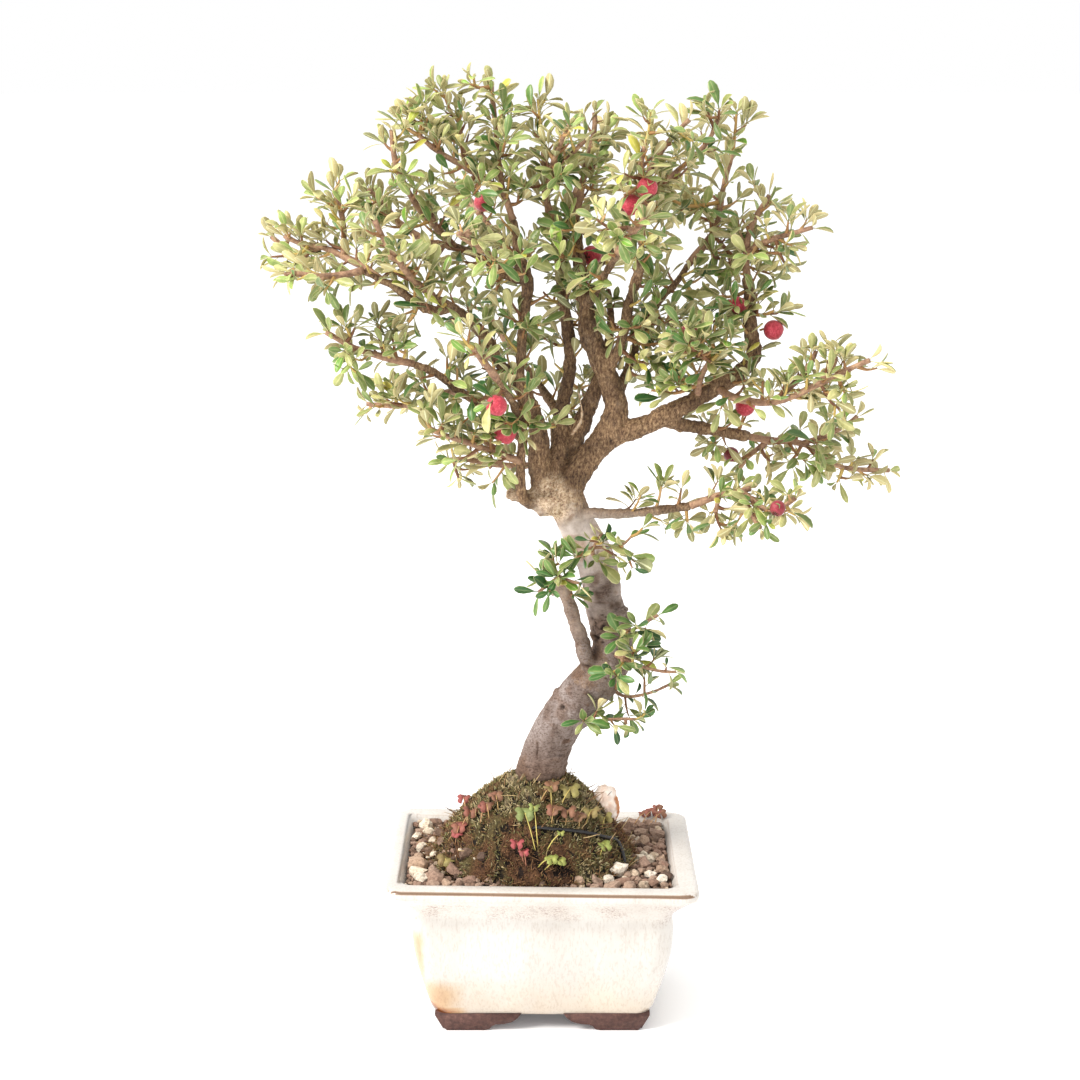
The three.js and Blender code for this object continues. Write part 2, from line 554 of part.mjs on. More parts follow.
function leaf(base, along, flat, size) {
  const long = LEAF.length * size;
  const side = new THREE.Vector3().crossVectors(flat, along).normalize();
  const up = new THREE.Vector3().crossVectors(along, side).normalize();
  const at = (far, across, high) =>
    base.clone().addScaledVector(along, far).addScaledVector(side, across).addScaledVector(up, high);
  const wide = (LEAF.width * size) / 2;
  const outline = [at(-0.3, 0, 0), at(0.62 * long, -wide, 0.5), at(long, 0, 0.2), at(0.62 * long, wide, 0.5)];
  const points = [...outline, at(0.58 * long, 0, LEAF.thick), at(0.58 * long, 0, -LEAF.thick * 0.4)];
  const index = [];
  for (let i = 0; i < 4; i++) {
    const next = (i + 1) % 4;
    index.push(i, next, 4, next, i, 5);
  }
  const geometry = new THREE.BufferGeometry().setFromPoints(points);
  geometry.setIndex(index);
  return solid(geometry);
}

// The straight lines between the rings of a twig, so that a leaf's foot is inside the twig.
function middleLine(points) {
  const line = new THREE.CurvePath();
  const rings = new THREE.CatmullRomCurve3(points, false, "centripetal").getSpacedPoints(points.length - 1);
  for (let i = 0; i + 1 < rings.length; i++) line.add(new THREE.LineCurve3(rings[i], rings[i + 1]));
  return line;
}

// Leaves stand in pairs along a twig, left and right, with one at its tip.
function leavesAlong(points, spacing) {
  const curve = middleLine(points);
  const count = Math.max(2, Math.round(curve.getLength() / spacing));
  const leaves = [];
  for (let i = 1; i <= count; i++) {
    const tip = i === count;
    const u = tip ? Math.max(0.3, 1 - (0.8 * LEAF.length) / curve.getLength()) : i / (count + 0.4);
    const base = curve.getPoint(u);
    const tangent = curve.getTangent(u);
    const out = new THREE.Vector3(0, 0, 1).cross(tangent).normalize();
    const turn = i % 2 ? 1 : -1;
    const along = tangent
      .clone()
      .multiplyScalar(tip ? 1 : 0.55)
      .addScaledVector(out, tip ? 0 : turn * random(0.7, 1))
      .add(new THREE.Vector3(0, 0, tip ? 0 : random(-0.1, 0.6)))
      .normalize();
    const flat = new THREE.Vector3(0, -0.5, 1).addScaledVector(out, turn * random(-0.4, 0.4));
    leaves.push(leaf(base, along, flat, random(0.85, 1.1)));
  }
  return leaves;
}

function growSprays(wooden) {
  const names = Object.keys(SPRAYS);
  const twigs = names.map((name) => seatedTwigs(SPRAYS[name], wooden));
  const stems = twigs.map((list) =>
    join(list.map((points, k) => limb(points, k ? [0.9, 0.6] : [1.2, 0.7], 4, points.length - 1))),
  );
  const samples = woodSamples(twigs.flat());
  const berries = [];
  for (const row of BERRIES) berries.push(berry(row, samples, [wooden, ...stems, ...berries]));
  const grown = [];
  names.forEach((name, own) => {
    const others = [wooden, ...stems.filter((_, k) => k !== own), ...berries, ...grown];
    const leaves = twigs[own].flatMap((points) => leavesAlong(points, LEAF.spacing));
    const free = leaves.filter((one) => clearOf(one, others, GAP));
    grown.push(join([stems[own], ...free]));
  });
  return { sprays: names.map((name, k) => [`spray_${name}`, grown[k]]), berries };
}

// Middles and radii along all the wood and the twigs, a few millimetres apart.
function woodSamples(twigs) {
  const samples = [];
  const sample = (points, radii) => {
    const curve = middleLine(points);
    const count = Math.ceil(curve.getLength() / 2);
    for (let i = 0; i <= count; i++) {
      const place = (i / count) * (radii.length - 1);
      const before = Math.min(Math.floor(place), radii.length - 2);
      const radius = THREE.MathUtils.lerp(radii[before], radii[before + 1], place - before);
      samples.push({ middle: curve.getPoint(i / count), radius });
    }
  };
  for (const rows of Object.values(LIMBS)) sample(rows.map(seen), rows.map((row) => row[3]));
  for (const twig of twigs) sample(twig, [0.9, 0.7]);
  return samples;
}

// A berry hangs by its stalk in front of the wood that its line of sight passes closest to.
function berry([x, z, radius], samples, others) {
  const target = seen([x, z, 0]);
  const sight = target.clone().sub(EYE).normalize();
  const options = samples
    .map(({ middle, radius: thick }) => {
      const along = middle.clone().sub(EYE).dot(sight);
      const aside = middle.distanceTo(EYE.clone().addScaledVector(sight, along));
      const reach = Math.max(thick + radius + 1.6, aside + 0.2);
      const centre = EYE.clone().addScaledVector(sight, along - Math.sqrt(reach * reach - aside * aside));
      return { middle, thick, centre, reach };
    })
    .filter(({ reach }) => reach < 16)
    .sort((a, b) => a.reach - b.reach || a.centre.y - b.centre.y);
  for (const { middle, thick, centre } of options) {
    const toward = middle.clone().sub(centre).normalize();
    const end = middle.clone().addScaledVector(toward, -(thick + GAP + 0.1));
    const stalk = limb([centre, centre.clone().lerp(end, 0.5), end], [0.5, 0.5], 4, 2);
    const whole = lump(centre, [radius, radius, radius], 0, 0, THREE.OctahedronGeometry).add(stalk);
    if (clearOf(whole, others, 0.2)) return whole;
  }
  throw new Error(`no twig is near the berry at ${x}, ${z}`);
}

function sorrel([stemFoot, top, size]) {
  const foot = onMound(stemFoot).add(new THREE.Vector3(0, -0.4, 0.75));
  const head = onMound(top).add(new THREE.Vector3(0, -3, 3.5));
  const bend = foot.clone().lerp(head, 0.4).add(new THREE.Vector3(0, -1.2, 1.5));
  const stem = limb([foot, bend, head], [0.45, 0.4], 4, 3);
  const leaflets = [90, 215, 325].map((degrees) => {
    const angle = THREE.MathUtils.degToRad(degrees);
    const along = new THREE.Vector3(Math.cos(angle), Math.sin(angle), 0.2).normalize();
    return leaf(head, along, new THREE.Vector3(0, -0.4, 1), size);
  });
  return join([stem, ...leaflets]);
}

// Assembly

const GLAZE = new THREE.MeshStandardMaterial({ color: 0xf6ecdc, roughness: 0.25 });
const GRIT = new THREE.MeshStandardMaterial({ color: 0x6d5a50, roughness: 0.95 });
const MOSS = new THREE.MeshStandardMaterial({ color: 0x4a4326, roughness: 1 });
const STONE = new THREE.MeshStandardMaterial({ color: 0xe3cfc0, roughness: 0.8 });
const WIRE = new THREE.MeshStandardMaterial({ color: 0x1c1a1c, roughness: 0.4, metalness: 0.5 });
const PLASTIC = new THREE.MeshStandardMaterial({ color: 0x23262a, roughness: 0.5 });
const BARK = new THREE.MeshStandardMaterial({ color: 0x948377, roughness: 0.85 });
const LEAVES = new THREE.MeshStandardMaterial({ color: 0x86995a, roughness: 0.5 });
const BERRY = new THREE.MeshStandardMaterial({ color: 0xd4354f, roughness: 0.5 });

const tree = new THREE.Group();

function add(name, piece, material) {
  const { vertProperties, triVerts } = piece.getMesh();
  const geometry = new THREE.BufferGeometry();
  geometry.setAttribute("position", new THREE.Float32BufferAttribute(vertProperties, 3));
  geometry.setIndex(Array.from(triVerts));
  const mesh = new THREE.Mesh(geometry, material);
  mesh.name = name;
  tree.add(mesh);
}

const timber = wood();
add("pot", pot(), GLAZE);
add("soil", soil(), GRIT);
add("moss_mound", mound(), MOSS);
add("white_stone", stone(), STONE);
add("tie_wire", tieWire(), WIRE);
for (const [side, word] of [[-1, "left"], [1, "right"]]) {
  add(`drainage_mesh_${word}`, drainageMesh(side), PLASTIC);
  add(`mesh_clip_${word}`, clip(side), WIRE);
}
add("trunk_and_branches", timber, BARK);
const { sprays, berries } = growSprays(timber);
for (const [name, piece] of sprays) add(name, piece, LEAVES);
berries.forEach((piece, i) => add(`berry_${i + 1}`, piece, BERRY));
for (const [name, row] of Object.entries(SORRELS)) add(`wood_sorrel_${name}`, sorrel(row), LEAVES);

// The whole stands on z = 0, with the middle of its outer box over the origin.
const bounds = new THREE.Box3().setFromObject(tree);
const middle = bounds.getCenter(new THREE.Vector3());
tree.position.set(-middle.x, -middle.y, -bounds.min.z);

export default tree;
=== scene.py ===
"""Looks for a wall cotoneaster grown as a bonsai in a cream glazed pot.

Places are read off a front view: x and z on the upright plane through the middle of the pot, then how far
behind that plane a point lies. All of it is in millimetres until a finished piece is turned to metres.
"""
import math
import random

import bmesh
import bpy
from mathutils import Matrix, Vector, kdtree, noise


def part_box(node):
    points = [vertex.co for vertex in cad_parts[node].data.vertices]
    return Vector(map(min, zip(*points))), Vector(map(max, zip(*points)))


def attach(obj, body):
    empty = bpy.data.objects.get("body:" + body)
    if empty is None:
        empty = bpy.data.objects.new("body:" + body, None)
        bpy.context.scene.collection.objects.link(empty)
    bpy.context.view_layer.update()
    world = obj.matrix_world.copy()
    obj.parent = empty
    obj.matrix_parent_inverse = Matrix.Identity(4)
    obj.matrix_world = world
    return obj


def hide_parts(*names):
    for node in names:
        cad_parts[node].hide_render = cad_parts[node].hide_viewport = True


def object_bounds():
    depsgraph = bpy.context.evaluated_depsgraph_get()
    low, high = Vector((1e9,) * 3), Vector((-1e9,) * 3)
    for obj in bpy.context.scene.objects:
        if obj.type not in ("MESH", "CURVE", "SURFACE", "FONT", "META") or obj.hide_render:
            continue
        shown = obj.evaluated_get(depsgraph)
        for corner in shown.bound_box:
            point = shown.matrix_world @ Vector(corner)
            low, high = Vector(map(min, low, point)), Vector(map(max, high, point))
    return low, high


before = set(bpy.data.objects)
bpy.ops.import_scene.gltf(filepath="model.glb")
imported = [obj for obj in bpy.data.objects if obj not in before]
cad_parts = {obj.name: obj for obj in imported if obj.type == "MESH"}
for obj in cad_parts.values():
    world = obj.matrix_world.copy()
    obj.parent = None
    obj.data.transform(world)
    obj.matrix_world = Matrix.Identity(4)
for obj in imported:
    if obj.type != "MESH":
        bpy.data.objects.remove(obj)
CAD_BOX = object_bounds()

# Without a seed, noise_vector starts from the clock, and the bark would differ from run to run.
noise.seed_set(7)

MM = 0.001
UP = Vector((0, 0, 1))
# Where the view is taken from, how far it looks down in degrees, and its lens.
EYE = Vector((0, -890, 420))
EYE_PITCH = 13.5
LENS = 72.6

# The pot: the half sizes of its rim and its foot, and its heights.
FLOOR = -2.5
POT_X = 1
RIM_TOP = 68
RIM_HALF = (65.5, 50)
RIM_LEAN = 1
BASE_HALF = (46, 31.5)
BASE_BOTTOM = 4.9
INNER_FLOOR = 12
HOLE_X = 22
HOLE_RADIUS = 7
SOIL_TOP = 65.5
# How far the pot's wall stands in from the edge of the rim at the soil, and how much less on the left.
WALL_AT_SOIL = 10.9
LEFT_OPENING = 3.4
MOUND = {"x": 0, "y": -2, "top": 106, "left": 50, "right": 41, "front": 35.5, "back": 32, "edge": 66.9,
         "power": 1.1}
WIRE_RADIUS = 0.85
VOXEL = 0.72

pot_low, pot_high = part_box("pot")
SHIFT = Vector(((pot_low.x + pot_high.x) / 2 / MM - POT_X, (pot_low.y + pot_high.y) / 2 / MM,
                pot_low.z / MM - FLOOR))


def read(x, y, z):
    """A place in the readings' own frame, moved to the model's frame."""
    return Vector((x, y, z)) + SHIFT


def seen(x, z, depth=0.0):
    """A place on the line of sight through x, z, depth millimetres behind the plane of the pot's middle."""
    return EYE + (Vector((x, 0, z)) - EYE) * (1 - depth / EYE.y) + SHIFT


def bounded(value, most=1.0):
    """A value kept from 0 to the most it may be."""
    return min(most, max(0.0, value))


def smoothstep(low, high, value):
    """0 at low and 1 at high, with an easy start and end."""
    share = bounded((value - low) / (high - low))
    return share * share * (3 - 2 * share)


# Wood, read off the front view. Each row: x, z, depth, radius.
TRUNK = [
    (-1, 52, 0, 9), (-1.5, 66, 0, 12.5), (-1.5, 82, 0, 12.6), (-1, 92, 0, 11.6), (-0.6, 100, 0, 10.9),
    (1.9, 110, -1, 10.3), (5.4, 120, -2, 9.9), (11.4, 130, -3, 9.7), (19.3, 140, -3, 9.8),
    (25.5, 147, -3, 9.8), (30, 155, -2, 9.2), (31, 162, -1, 8.8), (29.5, 170, 0, 8.7), (26.7, 180, 1, 8.2),
    (25.3, 190, 2, 8.2), (22.4, 200, 2, 8.3), (17, 210, 2, 7.9), (12.8, 219, 1, 7.8), (10.5, 227, 1, 7.2),
]
ROOTS = [60, 128, 192, 255, 312]
LIMBS = {
    "main": [(11, 227, 0, 6.4), (16, 236, 1, 5.8), (22, 244, 2, 5.6), (28.5, 252, 3, 5.8),
             (31.5, 262, 4, 5.2), (30, 270, 5, 4.7), (26.5, 279, 6, 4.5), (22.5, 288, 7, 4.3),
             (20, 294.5, 7, 4.6), (19, 304.5, 8, 3), (17, 315.5, 9, 2.6), (15.5, 328, 9, 2.3),
             (14.5, 340, 8, 2)],
    "right": [(27, 250, 3, 5), (36, 253, 2, 4.5), (45.5, 256, 1, 4.2), (52.5, 260, 0, 4),
              (60.5, 264, -1, 3.8), (65.5, 267, -1, 3.6), (73, 271.5, -2, 3.5), (80, 275.5, -2, 3.4),
              (85, 279.5, -2, 3.3), (88, 284.5, -1, 3.3), (87, 292.5, 0, 3.1), (86, 300.5, 2, 2.9),
              (86, 308.5, 4, 2.6), (84.5, 316.5, 6, 2.2)],
    "reach": [(50, 258, 0, 2.6), (57.5, 255.5, 1, 2.7), (65.5, 254.5, 3, 2.6), (78.5, 252, 6, 2.4),
              (86.5, 250.5, 8, 2.2)],
    "low": [(16, 217, -1, 2.6), (22, 218, -4, 2.4), (30.5, 217.5, -7, 2.2), (40.5, 218, -10, 2),
            (48.5, 219, -12, 1.9), (55.5, 220, -14, 1.8), (63, 221, -16, 1.7)],
    "side": [(26, 147, -4, 4), (20.5, 152.5, -8, 3.4), (17.7, 162, -10, 3.1), (15, 170, -11, 3),
             (12.3, 178.5, -11, 2.9), (10, 184.5, -11, 3), (5.5, 185.8, -11, 3.4)],
    "front_stem": [(0, 221, -2, 3), (-7, 224, -6, 2.3), (-8.2, 232, -8, 2), (-8, 240, -8, 1.9),
                   (-7, 253, -8, 1.9), (-8, 267, -8, 1.8), (-8, 280, -7, 1.9), (-7, 297, -6, 1.9),
                   (-5, 315, -5, 2.6), (-9, 328, -5, 1.8), (-11, 340, -4, 1.5)],
    "left": [(2, 226, 2, 5), (-0.2, 238, 1, 4.9), (-0.6, 251, 1, 4), (-3, 262, 2, 3.2), (-10, 274, 2, 2.8),
             (-18, 283, -2, 2.6), (-21, 290, -5, 2.4), (-29.5, 299.5, -10, 2.1), (-36, 304.5, -13, 1.9),
             (-44, 309, -16, 1.6)],
    "leader": [(6.5, 227, 4, 5), (7.8, 243, 6, 4.4), (8.5, 258, 11, 3.4), (10, 267, 14, 3),
               (12, 276, 16, 2.8), (12, 290, 17, 2.6), (10, 305, 16, 2.4), (8, 318, 14, 2.2),
               (7, 328, 11, 2), (5, 338, 8, 1.8)],
    "middle_left": [(-8, 250, -8, 2.1), (-15, 257, -10, 2), (-22, 261.5, -12, 1.9), (-33, 269.5, -15, 1.8),
                    (-43, 277, -18, 1.7), (-52, 281, -20, 1.5)],
    "long_left": [(-36, 304.5, -13, 1.8), (-44, 303, -18, 1.8), (-51.5, 306.5, -20, 1.8),
                  (-59.5, 313, -21, 1.7), (-65, 315.5, -22, 1.6), (-72, 319.5, -23, 1.5)],
    "upper_left": [(-5, 315, -5, 2.2), (-16, 318.5, 0, 2), (-24.5, 325, 5, 1.8), (-35, 329, 9, 1.6),
                   (-46.5, 331, 12, 1.4)],
    "upper_right": [(27, 277, 6, 2.6), (31.5, 285, 2, 2.3), (34, 292.5, -1, 2.2), (36.5, 306.5, -4, 2),
                    (40, 317.5, -7, 1.9), (41.5, 330, -9, 1.6)],
    "outer_right": [(31.5, 262, 4, 2.4), (34.5, 273, 8, 2), (38.5, 285.5, 11, 1.8), (43, 297.5, 14, 1.7),
                    (48.5, 306.5, 16, 1.6), (56.5, 315.5, 18, 1.5), (60.5, 322, 20, 1.4)],
    "front_left": [(-5, 315, -5, 2.2), (-14, 321, -20, 1.7), (-24, 328, -36, 1.3)],
    "front_right": [(19, 304.5, 8, 2.2), (25, 315, -10, 1.7), (32, 327, -28, 1.3)],
    "front_low": [(-8, 258, -8, 2.2), (-12, 266, -24, 1.7), (-18, 275, -38, 1.3)],
    "back_left": [(-5, 315, -5, 2.2), (-13, 328, 20, 1.7), (-24, 342, 38, 1.3)],
    "back_right": [(17, 315.5, 9, 2.2), (28, 326, 30, 1.7), (40, 338, 46, 1.3)],
    "back_low": [(8.5, 258, 12, 2.2), (0, 272, 30, 1.7), (-12, 288, 46, 1.3)],
    "back_top": [(8, 318, 14, 2.2), (10, 336, 26, 1.7), (14, 350, 38, 1.3)],
    "stub_left": [(4, 222.5, 0, 4.6), (-5, 224.6, -1, 2.9), (-10, 225.6, -1, 2.7), (-14, 226.6, -1, 2.2)],
    "stub_knob": [(4, 220, -3, 3), (1, 218.4, -5, 2), (-1, 217.6, -5.5, 1.7)],
    "behind_main": [(9, 232, 6, 4.4), (14, 248, 10, 4.1), (20.5, 264, 12, 3.6), (26, 280, 13, 2.8),
                    (29, 297, 13, 1.9), (28, 312, 12, 1.2)],
    "pale_twig": [(13, 251, -2, 0.9), (17.2, 258, -4, 0.7), (15.5, 272, -4, 0.5)],
    "stub_wound": [(29, 171, -3, 3), (33, 173.5, -7, 2.4), (36.5, 177, -9, 1.6)],
    "stub_low_right": [(13, 123, -3, 2.6), (17, 124.5, -4, 2.2), (20.3, 125.8, -5, 1.5)],
    "stub_low_left": [(12, 137, -2, 2.6), (9, 138.5, -3, 2), (5.8, 140.2, -3, 1.4)],
}

# Sprays: for each its twigs. The first starts in the limb that carries it, and the others in the first.
SPRAYS = {
    "long_left": [[(-72, 319.5, -23), (-79, 318, -25), (-88.5, 317, -27), (-100, 318, -29),
                   (-114, 316.5, -31)], [(-88.5, 317, -27), (-91, 310, -32)],
                  [(-100, 318, -29), (-108, 322, -36)]],
    "left_tip": [[(-65, 315.5, -22), (-72, 321, -12), (-80, 325, -6), (-89, 329, -2), (-96.5, 330, 0),
                  (-112, 338, 2)], [(-89, 329, -2), (-100, 326.5, 8), (-115, 338.5, 12)],
                 [(-80, 325, -6), (-80, 340, 0), (-86, 358, 4)]],
    "left_fork": [[(-44, 309, -16), (-52, 316, -26), (-58, 324, -34), (-64, 333, -38), (-70, 347, -40)],
                  [(-58, 324, -34), (-68, 327, -44)]],
    "upper_left": [[(-46.5, 331, 12), (-57, 338.5, 18), (-64, 343, 24), (-73, 346, 30)],
                   [(-57, 338.5, 18), (-66, 349, 14), (-75, 357, 12)]],
    "middle_left": [[(-52, 281, -20), (-65, 284, -23), (-76, 287.5, -26), (-88, 294, -29), (-96, 297, -31)],
                    [(-65, 284, -23), (-62, 292, -14)], [(-76, 287.5, -26), (-84, 280, -32)]],
    "low_left": [[(-33, 269.5, -15), (-41, 268.5, -6), (-53.5, 264, 2), (-69.5, 264, 8), (-79, 266, 12)],
                 [(-53.5, 264, 2), (-60, 257, 6)]],
    "lowest_left": [[(-8, 240, -8), (-14, 242, -12), (-30, 248, -20), (-43, 252.5, -27), (-51, 257, -31)],
                    [(-14, 242, -12), (-27, 252, -10), (-36, 260, -6)]],
    "under_left": [[(1, 240, 1), (-8, 238, 12), (-20, 239, 18), (-34, 241, 24), (-45, 239, 28)],
                   [(-20, 239, 18), (-26, 233, 16)]],
    "red_shoot": [[(-35, 329, 9), (-43, 338, 0), (-50, 346, -6), (-58, 362, -10), (-60, 383, -14)],
                  [(-43, 338, 0), (-46, 350, 2)]],
    "crown_left": [[(-11, 340, -4), (-15, 350, -4), (-30, 361, -4), (-42, 368, -4), (-55, 380, -4)],
                   [(-15, 350, -4), (-17, 368, 4), (-20, 400, 9)], [(-30, 361, -4), (-34, 388, 2)]],
    "leader_top": [[(5, 338, 8), (2, 352, 4), (1.5, 368, 2), (0, 384, 0)],
                   [(2, 352, 4), (9, 362, -6), (23, 377, -14)],
                   [(2, 352, 4), (8, 370, -16), (16, 386, -22)]],
    "crown_right": [[(14.5, 340, 8), (18, 359, 8), (22, 378, 12), (20, 397, 14)],
                    [(18, 359, 8), (30, 371, 12)]],
    "upper_right": [[(41.5, 330, -9), (42, 345, -10), (45, 361, -12), (55, 375, -14), (67, 386, -16)],
                    [(42, 345, -10), (41, 364, -20), (46, 380, -24)],
                    [(42, 345, -10), (54.5, 358.5, 4), (68, 372, 10), (74, 389, 14)]],
    "right_top": [[(60.5, 322, 20), (71, 336, 22), (74, 352, 24), (81, 381, 26)],
                  [(71, 336, 22), (67, 346, 32), (60, 353, 36)]],
    "right_shoulder": [[(84.5, 316.5, 6), (84, 327, 7), (86, 338, 7), (92, 348, 6), (97, 357, 5)],
                       [(84, 327, 7), (94, 332, -4), (106, 335.5, -9), (118, 339, -12)],
                       [(84, 327, 7), (80, 338, 16), (81, 348, 18)]],
    "right_inner": [[(65.5, 267, -1), (66, 275, -10), (70, 282, -17), (73, 287, -21)]],
    "right_bud": [[(73, 271.5, -2), (80, 267, -12), (97, 265, -18), (116, 273, -24), (136, 282.5, -29),
                   (145, 284, -30)], [(116, 273, -24), (121.5, 282, -22), (122, 293, -20)],
                  [(97, 265, -18), (111, 280, -15), (116, 295, -11)]],
    "right_far": [[(86.5, 250.5, 8), (95, 249, 11), (109, 247.5, 14), (124.5, 238, 20), (150, 236, 25)],
                  [(109, 247.5, 14), (124, 253.5, 8), (135, 262, 3)],
                  [(95, 249, 11), (85, 240, 15), (80, 229, 18)]],
    "low_tip": [[(63, 221, -16), (75, 225.5, -18), (84, 227.5, -19), (97, 230.5, -20)],
                [(84, 227.5, -19), (91, 213.5, -27), (97, 205, -30)],
                [(84, 227.5, -19), (97, 219, -30), (113, 229, -34)], [(75, 225.5, -18), (72, 211, -23)]],
    "trunk_upper": [[(22.5, 198, 0), (22.5, 203, -14), (26, 209, -20), (30, 212, -23)],
                    [(22.5, 203, -14), (34, 204, -18), (41, 211, -21)], [(22.5, 203, -14), (16, 201, -19)]],
    "side_stem": [[(10, 184.5, -11), (8, 190.5, -16), (4.3, 198, -20), (1, 204, -22)],
                  [(8, 190.5, -16), (1, 185, -24), (-6, 180, -28)],
                  [(8, 190.5, -16), (14.5, 188, -23), (23, 187, -27)]],
    "trunk_middle": [[(30, 157, -2), (35, 154.5, -16), (48, 149.5, -22), (58, 148.5, -25), (65, 150, -26)],
                     [(35, 154.5, -16), (41, 161, -24)], [(35, 154.5, -16), (36, 147, -24)]],
    "trunk_wound": [[(32, 167, -1), (39, 167, -12), (44, 170, -14), (52, 174.5, -17), (59, 177, -19)]],
    "trunk_right": [[(26, 147, -3), (35, 138, -6), (46.5, 139, -8), (61, 146, -10)]],
    "trunk_low": [[(11.4, 130, -3), (22, 127, -13), (36.5, 127.5, -16), (50, 126.5, -19)],
                  [(36.5, 127.5, -16), (38, 120, -18)]],
    "front_left": [[(-24, 328, -36), (-31, 333, -48), (-38, 338, -58)], [(-31, 333, -48), (-24, 340, -56)]],
    "front_right": [[(32, 327, -28), (38, 335, -40), (46, 344, -52)], [(38, 335, -40), (30, 340, -50)]],
    "front_low": [[(-18, 275, -38), (-24, 283, -48), (-31, 292, -57)], [(-24, 283, -48), (-14, 288, -55)]],
    "back_left": [[(-24, 342, 38), (-31, 351, 51), (-38, 360, 62)], [(-31, 351, 51), (-42, 350, 58)]],
    "back_right": [[(40, 338, 46), (49, 348, 58), (56, 358, 66)], [(49, 348, 58), (60, 344, 64)]],
    "back_low": [[(-12, 288, 46), (-20, 299, 58), (-28, 310, 66)], [(-20, 299, 58), (-30, 297, 64)]],
    "back_top": [[(14, 350, 38), (20, 361, 50), (26, 370, 58)], [(20, 361, 50), (10, 366, 58)]],
}

# Side shoots also stand on the limbs: which limb, from what share of its length, and the spray they join.
LEAFY_LIMBS = [
    ("main", 0.62, "crown_right"), ("behind_main", 0.45, "crown_right"),
    ("right", 0.42, "right_shoulder"), ("reach", 0.1, "right_far"),
    ("low", 0.35, "low_tip"), ("front_stem", 0.3, "crown_left"), ("left", 0.4, "left_fork"),
    ("leader", 0.4, "leader_top"), ("middle_left", 0.1, "middle_left"), ("long_left", 0.1, "long_left"),
    ("upper_left", 0.1, "upper_left"), ("upper_right", 0.25, "upper_right"),
    ("outer_right", 0.3, "right_top"), ("front_left", 0.2, "front_left"),
    ("front_right", 0.2, "front_right"), ("front_low", 0.2, "front_low"), ("back_left", 0.2, "back_left"),
    ("back_right", 0.2, "back_right"), ("back_low", 0.2, "back_low"), ("back_top", 0.2, "back_top"),
]

# Berries: x and z of the middle as seen, and the radius.
BERRIES = [
    (21, 325.5, 4.2), (36.5, 346, 4.3), (43.5, 353, 4), (-23, 347, 3.9), (80.5, 305, 3.8), (96, 295, 4.1),
    (61, 293.5, 3.9), (85, 263.5, 4.2), (79.5, 243, 3.2), (99.5, 220, 3.2), (-18, 263.5, 4.3),
    (-14.5, 252, 4.6),
]
# Painted shade on the berries that sit in shade: each one's number less one, and how dark.
BERRIES_IN_PAINTED_SHADE = {3: 0.2, 6: 0.7, 8: 0.8, 9: 0.6}


# Materials

def linear(code):
    """A hex colour as it is seen, turned into the linear colour that a shader takes."""
    parts = [int(code[i:i + 2], 16) / 255 for i in (1, 3, 5)]
    return (*[c / 12.92 if c <= 0.04045 else ((c + 0.055) / 1.055) ** 2.4 for c in parts], 1)


def add(tree, kind, inputs=None, stops=None, **settings):
    """Adds one node with its settings, its colour stops, and its inputs as values or links. A name among
    the inputs stands for the piece's own attribute of that name."""
    made = tree.nodes.new("ShaderNode" + kind)
    for name, value in settings.items():
        setattr(made, name, value)
    for key, value in (inputs or {}).items():
        if isinstance(value, str):
            value = add(tree, "Attribute", attribute_name=value).outputs["Fac"]
        if isinstance(value, bpy.types.NodeSocket):
            tree.links.new(value, made.inputs[key])
        else:
            made.inputs[key].default_value = value
    if stops:
        colours = made.color_ramp.elements
        while len(colours) < len(stops):
            colours.new(1)
        for element, (place, code) in zip(colours, stops):
            element.position = place
            element.color = linear(code)
    return made


# Settings of a Mix node that blends two colours, and of one that multiplies them.
BLEND = {"data_type": "RGBA"}
MULTIPLY = {"data_type": "RGBA", "blend_type": "MULTIPLY"}
MATERIALS = {}


def material(name, build):
    """A node material whose build function returns the inputs of its shader."""
    made = bpy.data.materials.new(name)
    made.use_nodes = True
    tree = made.node_tree
    tree.nodes.clear()
    shader = add(tree, "BsdfPrincipled", build(tree))
    output = add(tree, "OutputMaterial")
    tree.links.new(shader.outputs[0], output.inputs[0])
    MATERIALS[name] = made


def speckle(tree, size, detail=4.0, rough=0.55, stretch=(1, 1, 1)):
    """Noise in object space whose features are about size millimetres, stretched along an axis."""
    place = add(tree, "TexCoord")
    turned = add(tree, "Mapping", {0: place.outputs["Object"], 3: [1 / s for s in stretch]})
    spots = add(tree, "TexNoise", {"Vector": turned.outputs[0], "Scale": 1 / (size * MM), "Detail": detail,
                                   "Roughness": rough})
    return spots.outputs[0]


